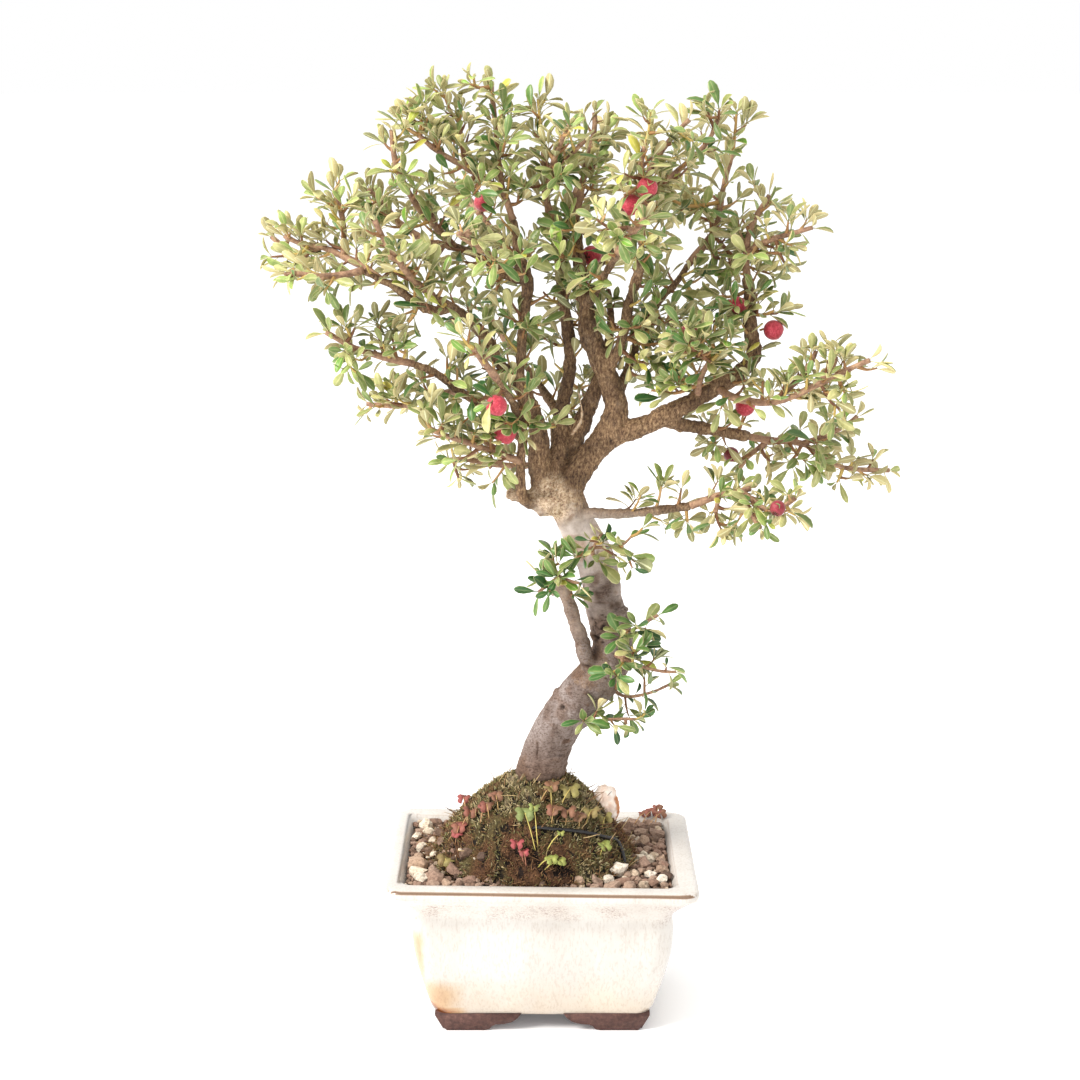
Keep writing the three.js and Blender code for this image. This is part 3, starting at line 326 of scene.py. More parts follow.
def glazed_stoneware(tree):
    """Cream stoneware glaze, poured thick: glossy and pale, thin and brown where it breaks over the lip,
    with a fainter dark line at the rim's inner edge that is partly painted shadow and a tan band of painted
    shade along the left edge, stained tan where it pooled at the foot, with pinholes and a brown craze
    under the rim."""
    place = add(tree, "TexCoord")
    apart = add(tree, "SeparateXYZ", {0: place.outputs["Object"]})
    cloud = speckle(tree, 28, 5, 0.6, (1, 1, 1.6))
    base = add(tree, "ValToRGB", {0: cloud}, [(0.36, "#c3bdb6"), (0.5, "#c8c3bc"), (0.64, "#cfcbc5")])
    height = add(tree, "MapRange", {0: apart.outputs["Z"], 1: 0.036, 2: 0.007, 3: 0.0, 4: 1.0})
    pool = add(tree, "Math", {0: height.outputs[0], 1: speckle(tree, 16, 3)}, operation="MULTIPLY")
    pooled = add(tree, "ValToRGB", {0: pool.outputs[0]}, [(0.12, "#ffffff"), (0.36, "#fff8ee"),
        (0.62, "#fdf0e0")])
    body = add(tree, "Mix", {0: 1.0, 6: base.outputs[0], 7: pooled.outputs[0]}, **MULTIPLY)
    stain = add(tree, "ValToRGB", {0: "stain"}, [(0.05, "#ffffff"), (0.3, "#f4d9b8"), (0.6, "#cc9462"),
        (0.9, "#8c5430")])
    stained = add(tree, "Mix", {0: 1.0, 6: body.outputs[2], 7: stain.outputs[0]}, **MULTIPLY)
    fine = add(tree, "ValToRGB", {0: speckle(tree, 1.0, 3, 0.8)}, [(0.4, "#a07c72"), (0.52, "#fffaf8")])
    where = add(tree, "Math", {0: "craze", 1: speckle(tree, 13, 3)}, operation="MULTIPLY")
    much = add(tree, "MapRange", {0: where.outputs[0], 1: 0.38, 2: 0.58, 3: 0.0, 4: 0.62})
    crazed = add(tree, "Mix", {0: much.outputs[0], 6: stained.outputs[2], 7: fine.outputs[0]}, **MULTIPLY)
    # Brown glaze line at the outer lip; at the rim's inner edge the line is partly painted shadow.
    lip = add(tree, "ValToRGB", {0: "lip"}, [(0.15, "#ffffff"), (0.6, "#b89c84"), (1.0, "#856750")])
    whole = add(tree, "Mix", {0: 1.0, 6: crazed.outputs[2], 7: lip.outputs[0]}, **MULTIPLY)
    streak = add(tree, "ValToRGB", {0: speckle(tree, 0.9, 4, 0.7, (1, 1, 4))},
        [(0.38, "#dcd0c6"), (0.5, "#ffffff")])
    pitted = add(tree, "Mix", {0: 0.4, 6: whole.outputs[2], 7: streak.outputs[0]}, **MULTIPLY)
    bump = add(tree, "Bump", {"Strength": 0.25, "Distance": 0.0006, "Height": speckle(tree, 6, 3)})
    return {"Base Color": pitted.outputs[2], "Roughness": 0.24, "IOR": 1.52, "Coat Weight": 0.3,
        "Coat Roughness": 0.12, "Normal": bump.outputs[0]}


def bare_clay(tree):
    """Unglazed fired clay on the feet and underside: matt chocolate brown with a coarse grog."""
    ramp = add(tree, "ValToRGB", {0: speckle(tree, 2.2, 6, 0.7)},
        [(0.3, "#3c2723"), (0.55, "#5a3d36"), (0.75, "#735449")])
    bump = add(tree, "Bump", {"Strength": 0.6, "Distance": 0.0004, "Height": speckle(tree, 0.9, 4)})
    return {"Base Color": ramp.outputs[0], "Roughness": 0.82, "Normal": bump.outputs[0]}


def washed_grit(tree):
    """Crushed pumice, lava and baked clay: dusty, porous, each lump in its own pale or brown tone."""
    tone = add(tree, "ValToRGB", {0: "tint"}, [(0.0, "#57443a"), (0.22, "#78604f"), (0.42, "#957766"),
        (0.6, "#a58b79"), (0.74, "#b89c84"), (0.86, "#dfcfb6"), (1.0, "#efe5d5")])
    grain = add(tree, "ValToRGB", {0: speckle(tree, 1.2, 6, 0.75)}, [(0.32, "#6f5f54"), (0.56, "#ffffff")])
    both = add(tree, "Mix", {0: 0.75, 6: tone.outputs[0], 7: grain.outputs[0]}, **MULTIPLY)
    bump = add(tree, "Bump", {"Strength": 0.8, "Distance": 0.0005, "Height": speckle(tree, 0.8, 5, 0.7)})
    return {"Base Color": both.outputs[2], "Roughness": 0.95, "Normal": bump.outputs[0]}


def damp_peat(tree):
    """Damp peat and fines between the lumps: nearly black brown and dull."""
    ramp = add(tree, "ValToRGB", {0: speckle(tree, 2.5, 6, 0.7)},
        [(0.3, "#33251b"), (0.6, "#5b4433"), (0.8, "#85684f")])
    bump = add(tree, "Bump", {"Strength": 1.0, "Distance": 0.001, "Height": speckle(tree, 1.2, 5)})
    return {"Base Color": ramp.outputs[0], "Roughness": 1.0, "Normal": bump.outputs[0]}


def old_moss(tree):
    """Old cushion moss over a root ball: matt, brown and peaty below, olive in patches, and grey-green with
    pale lichen round the trunk, with painted shade, nearly black, in the low places between its clumps."""
    tone = add(tree, "ValToRGB", {0: "tint"}, [(0.0, "#5e402a"), (0.3, "#7c5a3e"), (0.5, "#6c5c38"),
        (0.7, "#75704a"), (0.86, "#a2987c"), (1.0, "#c8bca2")])
    fine = add(tree, "ValToRGB", {0: speckle(tree, 1.1, 6, 0.8)},
        [(0.36, "#3c3024"), (0.5, "#b8a890"), (0.66, "#ffffff")])
    both = add(tree, "Mix", {0: 0.9, 6: tone.outputs[0], 7: fine.outputs[0]}, **MULTIPLY)
    # Painted shade: nearly black where the clumps sink low.
    gap = add(tree, "ValToRGB", {0: "hollow_shade"}, [(0.25, "#3a2c20"), (0.5, "#ffffff")])
    whole = add(tree, "Mix", {0: 0.9, 6: both.outputs[2], 7: gap.outputs[0]}, **MULTIPLY)
    bump = add(tree, "Bump", {"Strength": 1.0, "Distance": 0.0012, "Height": speckle(tree, 0.9, 5, 0.7)})
    return {"Base Color": whole.outputs[2], "Roughness": 1.0, "Normal": bump.outputs[0]}


def moss_shoot(tree):
    """Single moss shoots and dead fibres, from dry brown through olive to grey-green and straw."""
    tone = add(tree, "ValToRGB", {0: "tint"}, [(0.0, "#3a2818"), (0.2, "#6e4a30"), (0.4, "#8a6844"),
        (0.55, "#6e6238"), (0.7, "#7b7848"), (0.82, "#b4a884"), (0.9, "#bda272"), (1.0, "#d2bc92")])
    return {"Base Color": tone.outputs[0], "Roughness": 0.9}


def quartz_stone(tree):
    """A white quartz pebble with pinkish veins and an iron-stained edge."""
    ramp = add(tree, "ValToRGB", {0: speckle(tree, 7, 6, 0.65)},
        [(0.3, "#c9a08a"), (0.45, "#e2cdbd"), (0.62, "#f3ece4"), (0.8, "#fbf8f4")])
    rust = add(tree, "ValToRGB", {0: "stain"}, [(0.2, "#ffffff"), (0.8, "#c58a58")])
    both = add(tree, "Mix", {0: 1.0, 6: ramp.outputs[0], 7: rust.outputs[0]}, **MULTIPLY)
    bump = add(tree, "Bump", {"Strength": 0.7, "Distance": 0.0006, "Height": speckle(tree, 1.6, 5)})
    return {"Base Color": both.outputs[2], "Roughness": 0.6, "Normal": bump.outputs[0]}


def coated_wire(tree):
    """Copper training wire in a black plastic coat: smooth, with a soft gloss and dusty scuffs."""
    dust = speckle(tree, 3, 4)
    ramp = add(tree, "ValToRGB", {0: dust}, [(0.4, "#0b0a0c"), (0.75, "#262224")])
    rough = add(tree, "MapRange", {0: dust, 1: 0.3, 2: 0.8, 3: 0.2, 4: 0.45})
    return {"Base Color": ramp.outputs[0], "Roughness": rough.outputs[0]}


def moulded_plastic(tree):
    """Dark polypropylene drainage mesh, moulded and dusty with fired clay."""
    dust = speckle(tree, 2, 4)
    ramp = add(tree, "ValToRGB", {0: dust}, [(0.4, "#1f2226"), (0.8, "#4c4640")])
    return {"Base Color": ramp.outputs[0], "Roughness": 0.55}


def cotoneaster_bark(tree):
    """Cotoneaster bark: smooth, grey with a mauve cast and finely speckled on the trunk, rough, fibrous and
    tan-brown on the limbs, and darker round old wounds. It is darker in its cracks, partly its own colour
    and partly painted shade. It is paler on the pale cut ends, and on the upper trunk and the tan burl,
    where painted light offsets the crown's shade."""
    patch = speckle(tree, 16, 5, 0.62, (1, 1, 1.3))
    trunk = add(tree, "ValToRGB", {0: patch}, [(0.36, "#5f5048"), (0.46, "#776962"), (0.54, "#897d78"),
        (0.66, "#9a908c")])
    grain = add(tree, "ValToRGB", {0: speckle(tree, 0.9, 6, 0.75, (1.3, 1.3, 0.8))},
        [(0.38, "#86705f"), (0.48, "#dfd7d1"), (0.58, "#ffffff")])
    grained = add(tree, "Mix", {0: 0.85, 6: trunk.outputs[0], 7: grain.outputs[0]}, **MULTIPLY)
    place = add(tree, "TexCoord")
    cells = add(tree, "TexVoronoi", {"Vector": place.outputs["Object"], "Scale": 1 / (3.4 * MM)})
    fleck = add(tree, "ValToRGB", {0: cells.outputs["Distance"]}, [(0.1, "#8a6448"), (0.22, "#ffffff")])
    some = add(tree, "MapRange", {0: speckle(tree, 7, 3), 1: 0.48, 2: 0.6, 3: 0.0, 4: 0.8})
    flecked = add(tree, "Mix", {0: some.outputs[0], 6: grained.outputs[2], 7: fleck.outputs[0]}, **MULTIPLY)
    fibre = add(tree, "ValToRGB", {0: speckle(tree, 1.1, 6, 0.75, (0.8, 0.8, 1.8))},
        [(0.36, "#443021"), (0.45, "#6e543d"), (0.52, "#8a6e52"), (0.6, "#a98d6a"), (0.7, "#c6ac86")])
    tone = add(tree, "ValToRGB", {0: speckle(tree, 14, 3, 0.5)}, [(0.4, "#a09488"), (0.58, "#f6f2ee")])
    limb = add(tree, "Mix", {0: 0.8, 6: fibre.outputs[0], 7: tone.outputs[0]}, **MULTIPLY)
    mixed = add(tree, "Mix", {0: "rough_bark", 6: flecked.outputs[2], 7: limb.outputs[2]}, **BLEND)
    # The pale colours: painted light on the trunk; on the limbs the burl's own tan with painted light over
    # it, and the pale cut ends.
    pale_wood_and_painted_light = add(tree, "ValToRGB", {0: speckle(tree, 1.2, 6, 0.75)},
        [(0.37, "#6e503a"), (0.45, "#b4967a"), (0.53, "#dcc2a0"), (0.62, "#f2e0c6")])
    painted_light_on_trunk = add(tree, "ValToRGB", {0: speckle(tree, 3, 4)}, [(0.36, "#c4b6ac"), (0.6, "#ded2ca")])
    pale = add(tree, "Mix", {0: "rough_bark", 6: painted_light_on_trunk.outputs[0], 7: pale_wood_and_painted_light.outputs[0]}, **BLEND)
    lit = add(tree, "Mix", {0: "pale", 6: mixed.outputs[2], 7: pale.outputs[2]}, **BLEND)
    # Darker where the relief sinks: partly the bark's own colour in its cracks, partly painted shade.
    crack_colour_and_shade = add(tree, "ValToRGB", {0: "hollow_shade"}, [(0.25, "#5c4838"), (0.46, "#ffffff")])
    cracked = add(tree, "Mix", {0: 0.8, 6: lit.outputs[2], 7: crack_colour_and_shade.outputs[0]}, **MULTIPLY)
    brown = add(tree, "ValToRGB", {0: "brown"}, [(0.0, "#ffffff"), (0.6, "#cab09a"), (1.0, "#957459")])
    browned = add(tree, "Mix", {0: 1.0, 6: cracked.outputs[2], 7: brown.outputs[0]}, **MULTIPLY)
    dark = add(tree, "ValToRGB", {0: "wound"}, [(0.0, "#ffffff"), (1.0, "#3a2a20")])
    whole = add(tree, "Mix", {0: 1.0, 6: browned.outputs[2], 7: dark.outputs[0]}, **MULTIPLY)
    bump = add(tree, "Bump", {"Strength": 0.8, "Distance": 0.0005, "Height": speckle(tree, 0.9, 5, 0.7)})
    return {"Base Color": whole.outputs[2], "Roughness": 0.85, "Normal": bump.outputs[0]}


def twig_bark(tree):
    """Year-old twigs: thin brown bark with tan lenticels."""
    ramp = add(tree, "ValToRGB", {0: speckle(tree, 2.4, 5, 0.7)},
        [(0.3, "#614636"), (0.5, "#94725a"), (0.7, "#bb9876")])
    bump = add(tree, "Bump", {"Strength": 0.5, "Distance": 0.0003, "Height": speckle(tree, 0.7, 4)})
    return {"Base Color": ramp.outputs[0], "Roughness": 0.75, "Normal": bump.outputs[0]}


def young_shoot(tree):
    """This year's shoots: from yellow-green to tan and wine red, slightly downy."""
    ramp = add(tree, "ValToRGB", {0: "tint"}, [(0.0, "#7a5338"), (0.3, "#a67c4c"), (0.5, "#bd9a58"),
        (0.8, "#c9bb66"), (1.0, "#a85460")])
    return {"Base Color": ramp.outputs[0], "Roughness": 0.7}


def leaf_upper(tree):
    """The leathery upper side: green and glossy, with a pale midrib and a thin cream edge that is partly
    the leaf's pale margin and partly a painted highlight. Tint runs from dark leaves, old ones and those in
    the crown's painted shade, through grey-green to lime young ones."""
    uv = add(tree, "UVMap")
    apart = add(tree, "SeparateXYZ", {0: uv.outputs[0]})
    tone = add(tree, "ValToRGB", {0: "tint"}, [(0.0, "#31582a"), (0.1, "#3f6c33"), (0.2, "#567e3e"),
        (0.32, "#678646"), (0.44, "#78894c"), (0.56, "#889655"), (0.68, "#a3a668"), (0.82, "#c4c083"),
        (0.92, "#70a23a"), (1.0, "#d0c456")])
    across = add(tree, "Math", {0: apart.outputs["X"], 1: 0.5}, operation="SUBTRACT")
    away = add(tree, "Math", {0: across.outputs[0]}, operation="ABSOLUTE")
    # The midrib, and the thin cream edge, which is partly a painted highlight.
    rib = add(tree, "ValToRGB", {0: away.outputs[0]}, [(0.0, "#b0b0b0"), (0.04, "#909090"),
        (0.09, "#000000"), (0.4, "#000000"), (0.48, "#e0e0e0")])
    edge = add(tree, "ValToRGB", {0: "tint"}, [(0.0, "#86985f"), (0.3, "#b6b67e"), (0.6, "#d8d09a"),
        (1.0, "#eae2a4")])
    lined = add(tree, "Mix", {0: rib.outputs[0], 6: tone.outputs[0], 7: edge.outputs[0]}, **BLEND)
    mottle = add(tree, "ValToRGB", {0: speckle(tree, 3, 4)}, [(0.3, "#c4c8bc"), (0.6, "#ffffff")])
    whole = add(tree, "Mix", {0: 0.7, 6: lined.outputs[2], 7: mottle.outputs[0]}, **MULTIPLY)
    return {"Base Color": whole.outputs[2], "Roughness": 0.38, "IOR": 1.45}


def leaf_under(tree):
    """The downy underside: pale grey-green and matt, with a lighter midrib."""
    uv = add(tree, "UVMap")
    apart = add(tree, "SeparateXYZ", {0: uv.outputs[0]})
    tone = add(tree, "ValToRGB", {0: "tint"}, [(0.0, "#828860"), (0.4, "#a6a072"), (0.7, "#bdb082"),
        (0.9, "#ccc08a"), (1.0, "#d6ca88")])
    across = add(tree, "Math", {0: apart.outputs["X"], 1: 0.5}, operation="SUBTRACT")
    away = add(tree, "Math", {0: across.outputs[0]}, operation="ABSOLUTE")
    rib = add(tree, "ValToRGB", {0: away.outputs[0]}, [(0.0, "#ffffff"), (0.05, "#c0c0c0"),
        (0.1, "#000000")])
    lined = add(tree, "Mix", {0: rib.outputs[0], 6: tone.outputs[0], 7: linear("#dfe0b4")}, **BLEND)
    return {"Base Color": lined.outputs[2], "Roughness": 0.75}


def berry_skin(tree):
    """Ripe cotoneaster berry: crimson-pink under a fine down that keeps it matt, darkened on some berries
    by painted shade.
    """
    tone = add(tree, "ValToRGB", {0: speckle(tree, 0.9, 5, 0.7)},
        [(0.3, "#94202f"), (0.5, "#b82c40"), (0.72, "#d85a68")])
    shade = add(tree, "ValToRGB", {0: "tint"}, [(0.0, "#ffffff"), (1.0, "#7c4a58")])
    both = add(tree, "Mix", {0: 1.0, 6: tone.outputs[0], 7: shade.outputs[0]}, **MULTIPLY)
    bump = add(tree, "Bump", {"Strength": 0.35, "Distance": 0.0003, "Height": speckle(tree, 0.7, 4)})
    return {"Base Color": both.outputs[2], "Roughness": 0.55, "Sheen Weight": 0.25,
        "Normal": bump.outputs[0]}


def dry_calyx(tree):
    """The dried sepals at the berry's end: brown and papery."""
    ramp = add(tree, "ValToRGB", {0: speckle(tree, 1, 3)}, [(0.35, "#4a2320"), (0.65, "#7d4438")])
    return {"Base Color": ramp.outputs[0], "Roughness": 0.85}


def sorrel_leaf(tree):
    """Thin wood sorrel leaflets, green to wine red, matt."""
    tone = add(tree, "ValToRGB", {0: "tint"}, [(0.0, "#7c8850"), (0.2, "#96a04e"), (0.4, "#948a50"),
        (0.6, "#85684a"), (0.8, "#8a5242"), (1.0, "#a94f52")])
    mottle = add(tree, "ValToRGB", {0: speckle(tree, 2, 4)}, [(0.3, "#b0a898"), (0.6, "#ffffff")])
    both = add(tree, "Mix", {0: 0.8, 6: tone.outputs[0], 7: mottle.outputs[0]}, **MULTIPLY)
    return {"Base Color": both.outputs[2], "Roughness": 0.65}


def studio_floor(tree):
    """A seamless white paper floor, with a little light of its own so that its shadows stay faint."""
    ramp = add(tree, "ValToRGB", {0: speckle(tree, 400, 2)}, [(0.3, "#fdfdfd"), (0.7, "#ffffff")])
    return {"Base Color": ramp.outputs[0], "Roughness": 0.9, "Emission Color": (1, 1, 1, 1),
        "Emission Strength": 0.09}


for build in (glazed_stoneware, bare_clay, washed_grit, damp_peat, old_moss, moss_shoot, quartz_stone,
              coated_wire, moulded_plastic, cotoneaster_bark, twig_bark, young_shoot, leaf_upper,
              leaf_under, berry_skin, dry_calyx, sorrel_leaf, studio_floor):
    material(build.__name__, build)


# Making and finishing pieces

def link(name, data):
    """An object of this data, in the scene."""
    made = bpy.data.objects.new(name, data)
    bpy.context.scene.collection.objects.link(made)
    return made


def applied(obj):
    """The mesh of an object with its modifiers or its curve worked out, and the object gone."""
    bpy.context.view_layer.update()
    mesh = bpy.data.meshes.new_from_object(obj.evaluated_get(bpy.context.evaluated_depsgraph_get()))
    bpy.data.objects.remove(obj)
    return mesh


def finish_piece(name, mesh, finishes, slot, *nodes):
    """Turns a mesh to metres and makes it a piece that rides on the part."""
    mesh.transform(Matrix.Scale(MM, 4))
    for finish in finishes:
        mesh.materials.append(MATERIALS[finish])
    mesh.shade_smooth()
    piece = link(name, mesh)
    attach(piece, "root")
    if nodes:
        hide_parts(*nodes)
    return piece


def to_mesh(bm, name):
    """The mesh of a bmesh, which is gone after that."""
    mesh = bpy.data.meshes.new(name)
    bm.to_mesh(mesh)
    bm.free()
    return mesh


def join(bm, mesh):
    """Adds a mesh to a bmesh, and gives the vertices that it brought."""
    first = len(bm.verts)
    bm.from_mesh(mesh)
    bm.verts.ensure_lookup_table()
    return bm.verts[first:]


def new_verts(made):
    """The vertices among all that an operator made."""
    return [g for g in made["geom"] if isinstance(g, bmesh.types.BMVert)]


def mark_mesh(mesh, marks):
    """Gives each vertex its value of each named mark, for the material to read."""
    for name, values in marks.items():
        mesh.attributes.new(name, "FLOAT", "POINT").data.foreach_set("value", values)


def searchable(places):
    """A tree that finds the nearest of the places."""
    tree = kdtree.KDTree(len(places))
    for i, place in enumerate(places):
        tree.insert(place, i)
    tree.balance()
    return tree


def smooth(points, radii, step):
    """A smooth line through the points, cut every step millimetres, as places with their radii."""
    ends = [2 * points[0] - points[1], *points, 2 * points[-1] - points[-2]]
    line = []
    for i in range(len(points) - 1):
        a, b, c, d = ends[i:i + 4]
        t1 = math.sqrt((b - a).length)
        t2 = t1 + math.sqrt((c - b).length)
        t3 = t2 + math.sqrt((d - c).length)
        count = max(1, math.ceil((c - b).length / step))
        for k in range(count):
            t = t1 + (t2 - t1) * k / count
            ab, bc, cd = a.lerp(b, t / t1), b.lerp(c, (t - t1) / (t2 - t1)), c.lerp(d, (t - t2) / (t3 - t2))
            abc, bcd = ab.lerp(bc, t / t2), bc.lerp(cd, (t - t1) / (t3 - t1))
            share = (i + k / count) / (len(points) - 1) * (len(radii) - 1)
            low = min(int(share), len(radii) - 2)
            line.append((abc.lerp(bcd, (t - t1) / (t2 - t1)),
                         radii[low] + (radii[low + 1] - radii[low]) * (share - low)))
    line.append((points[-1].copy(), radii[-1]))
    return line


def tubes(lines, roundness):
    """Round tubes along the lines, as one mesh with closed ends."""
    curve = bpy.data.curves.new("tubes", "CURVE")
    curve.dimensions = "3D"
    curve.bevel_depth = 1
    curve.bevel_resolution = roundness
    curve.use_fill_caps = True
    for line in lines:
        spline = curve.splines.new("POLY")
        spline.points.add(len(line) - 1)
        for point, (place, radius) in zip(spline.points, line):
            point.co = (*place, 1)
            point.radius = radius
    mesh = applied(link("tubes", curve))
    bm = bmesh.new()
    bm.from_mesh(mesh)
    bpy.data.meshes.remove(mesh)
    bmesh.ops.remove_doubles(bm, verts=bm.verts, dist=0.01)
    bmesh.ops.recalc_face_normals(bm, faces=bm.faces)
    return bm


LOT = 150


def scatter(bm, copies):
    """Adds many small copies to a mesh that has a tint layer, each with its turn and tint. They are put
    together in small lots first, which is far quicker."""
    for start in range(0, len(copies), LOT):
        lot = bmesh.new()
        lot_tint = lot.verts.layers.float.new("tint")
        for shape, turn, tint in copies[start:start + LOT]:
            new = join(lot, shape)
            bmesh.ops.transform(lot, matrix=turn, verts=new)
            for v in new:
                v[lot_tint] = tint
        mesh = to_mesh(lot, "lot")
        join(bm, mesh)
        bpy.data.meshes.remove(mesh)


# Wood

def rows_line(rows, step, uneven=0.0, seed=0.0):
    """A line through rows that were read off the front view, its thickness a little uneven."""
    line = smooth([seen(x, z, depth) for x, z, depth, _ in rows], [row[3] for row in rows], step)
    if not uneven:
        return line
    return [(place, radius * (1 + uneven * noise.noise(place / 5 + Vector((seed, 0, 0)))))
            for place, radius in line]


TRUNK_LINE = rows_line(TRUNK, 2)
LIMB_LINES = {name: rows_line(rows, 2, 0.22 if rows[0][3] < 5 else 0.1, i * 7.0)
              for i, (name, rows) in enumerate(LIMBS.items())}


def root_line(degrees):
    """A root that runs out and down from the foot of the trunk, to the side that the angle gives."""
    angle = math.radians(degrees)

    def out(far, z):
        return read(-1 + far * math.cos(angle), far * math.sin(angle), z)

    return smooth([out(4, 86), out(14, 76), out(21, 66), out(25, 57)], [6.5, 4.2, 2.8, 1.4], 3)


# Marks on the trunk: x, z, half width, half height, how deep, and how dark and brown.
MARKS = [
    (9.4, 132.3, 1.5, 1.6, 1.5, 0.85, 0.4), (3, 130, 1.5, 4.2, 0.3, 0.0, 0.3),
    (19.5, 138.8, 1.0, 1.0, -0.6, 0.25, 0.5), (11, 117.5, 1.8, 1.2, 0.3, 0.0, 0.7),
    (23.5, 163.5, 2.0, 1.4, 1.6, 0.7, 0.5), (29.5, 170, 2.2, 1.2, 1.4, 0.6, 0.5),
    (26, 168, 5.0, 4.0, -0.8, 0.0, 0.5), (24, 164, 2.6, 1.0, 1.2, 0.6, 0.4),
    (27.5, 168.5, 1.4, 3.0, 1.2, 0.6, 0.4), (32, 173, 2.2, 0.8, 1.0, 0.5, 0.4),
    (28, 159, 3.0, 1.6, -0.6, 0.0, 0.0), (20, 151, 3.0, 0.8, 0.5, 0.4, 0.4),
    (-1.2, 113, 0.6, 4.5, 0.8, 0.35, 0.5), (24.5, 201, 0.9, 1.1, 0.4, 0.2, 0.3),
    (7, 109, 3.4, 0.9, -0.6, 0.0, 0.5), (4.5, 103.5, 4.6, 0.8, -0.7, 0.0, 0.5),
    (11.5, 113.5, 2.6, 0.7, -0.5, 0.0, 0.4), (28, 186, 1.4, 1.0, -0.5, 0.1, 0.4),
    (22, 143, 2.0, 0.9, -0.4, 0.0, 0.3), (20.5, 133.6, 1.0, 0.8, -0.5, 0.1, 0.5),
    (5.2, 124.5, 1.2, 0.8, -0.4, 0.0, 0.3), (26, 179, 4.5, 0.7, 0.5, 0.3, 0.4),
    (25, 183, 4.0, 0.6, 0.4, 0.2, 0.4),
]


def mark_places():
    """The marks as places on the front of the trunk."""
    places = []
    for x, z, *_ in MARKS:
        x0, _, depth, radius = min(TRUNK, key=lambda row: (row[0] - x) ** 2 + (row[1] - z) ** 2)
        inward = math.sqrt(max(0.0, radius * radius - (x - x0) ** 2)) if abs(x - x0) < radius else 0
        places.append(seen(x, z, depth - inward))
    return places


BURL = seen(6.5, 223.5, 0)
BURL_HALF = (9, 8.2, 6.2)
WOUND = seen(27, 168, -6)
CUT_STUBS = ("stub_left", "stub_knob", "pale_twig")


def wood_skin():
    """One skin over the trunk, the roots, the limbs and the burl where they meet."""
    lines = [TRUNK_LINE, *[root_line(degrees) for degrees in ROOTS], *LIMB_LINES.values()]
    bm = tubes(lines, 6)
    burl = bmesh.ops.create_icosphere(bm, subdivisions=4, radius=1)["verts"]
    for v in burl:
        lumpy = 1 + 0.16 * noise.noise(v.co * 2.4)
        v.co = BURL + Vector([c * half for c, half in zip(v.co, BURL_HALF)]) * lumpy
    solid = link("wood", to_mesh(bm, "wood"))
    remesh = solid.modifiers.new("Remesh", "REMESH")
    remesh.mode = "VOXEL"
    remesh.voxel_size = VOXEL
    ease = solid.modifiers.new("Ease", "SMOOTH")
    ease.iterations = 2
    return applied(solid)


def wood_middles():
    """The places down the middle of the wood: with the radius, how limb-like the bark is, and how cut."""
    middles = [(place, radius, 0.0, 0.0) for place, radius in TRUNK_LINE]
    for name, line in LIMB_LINES.items():
        bark = 0.35 if name == "side" else 1.0
        cut = 1.0 if name in CUT_STUBS else 0.0
        middles += [(place, radius, bark, cut) for place, radius in line]
    return middles


def marked_by(marks, p, lift):
    """The lift at a place with the trunk's marks worked in, and how dark and how brown they leave it."""
    dark = stain = 0.0
    for spot, (_, _, half_x, half_z, deep, how_dark, how_brown) in marks:
        if abs(p.z - spot.z) > 9 or abs(p.x - spot.x) > 9:
            continue
        out = math.hypot((p.x - spot.x) / half_x, (p.z - spot.z) / half_z, (p.y - spot.y) / 5)
        out += 0.3 * noise.noise(p / 1.4)
        if out < 1.9:
            inside = smoothstep(1.0, 0.3, out)
            lip = smoothstep(1.9, 1.2, out) * smoothstep(0.6, 1.1, out)
            lift += -deep * inside + 0.3 * abs(deep) * lip
            dark = max(dark, how_dark * smoothstep(0.9, 0.3, out))
            stain = max(stain, how_brown * smoothstep(1.4, 0.7, out))
    return lift, dark, stain


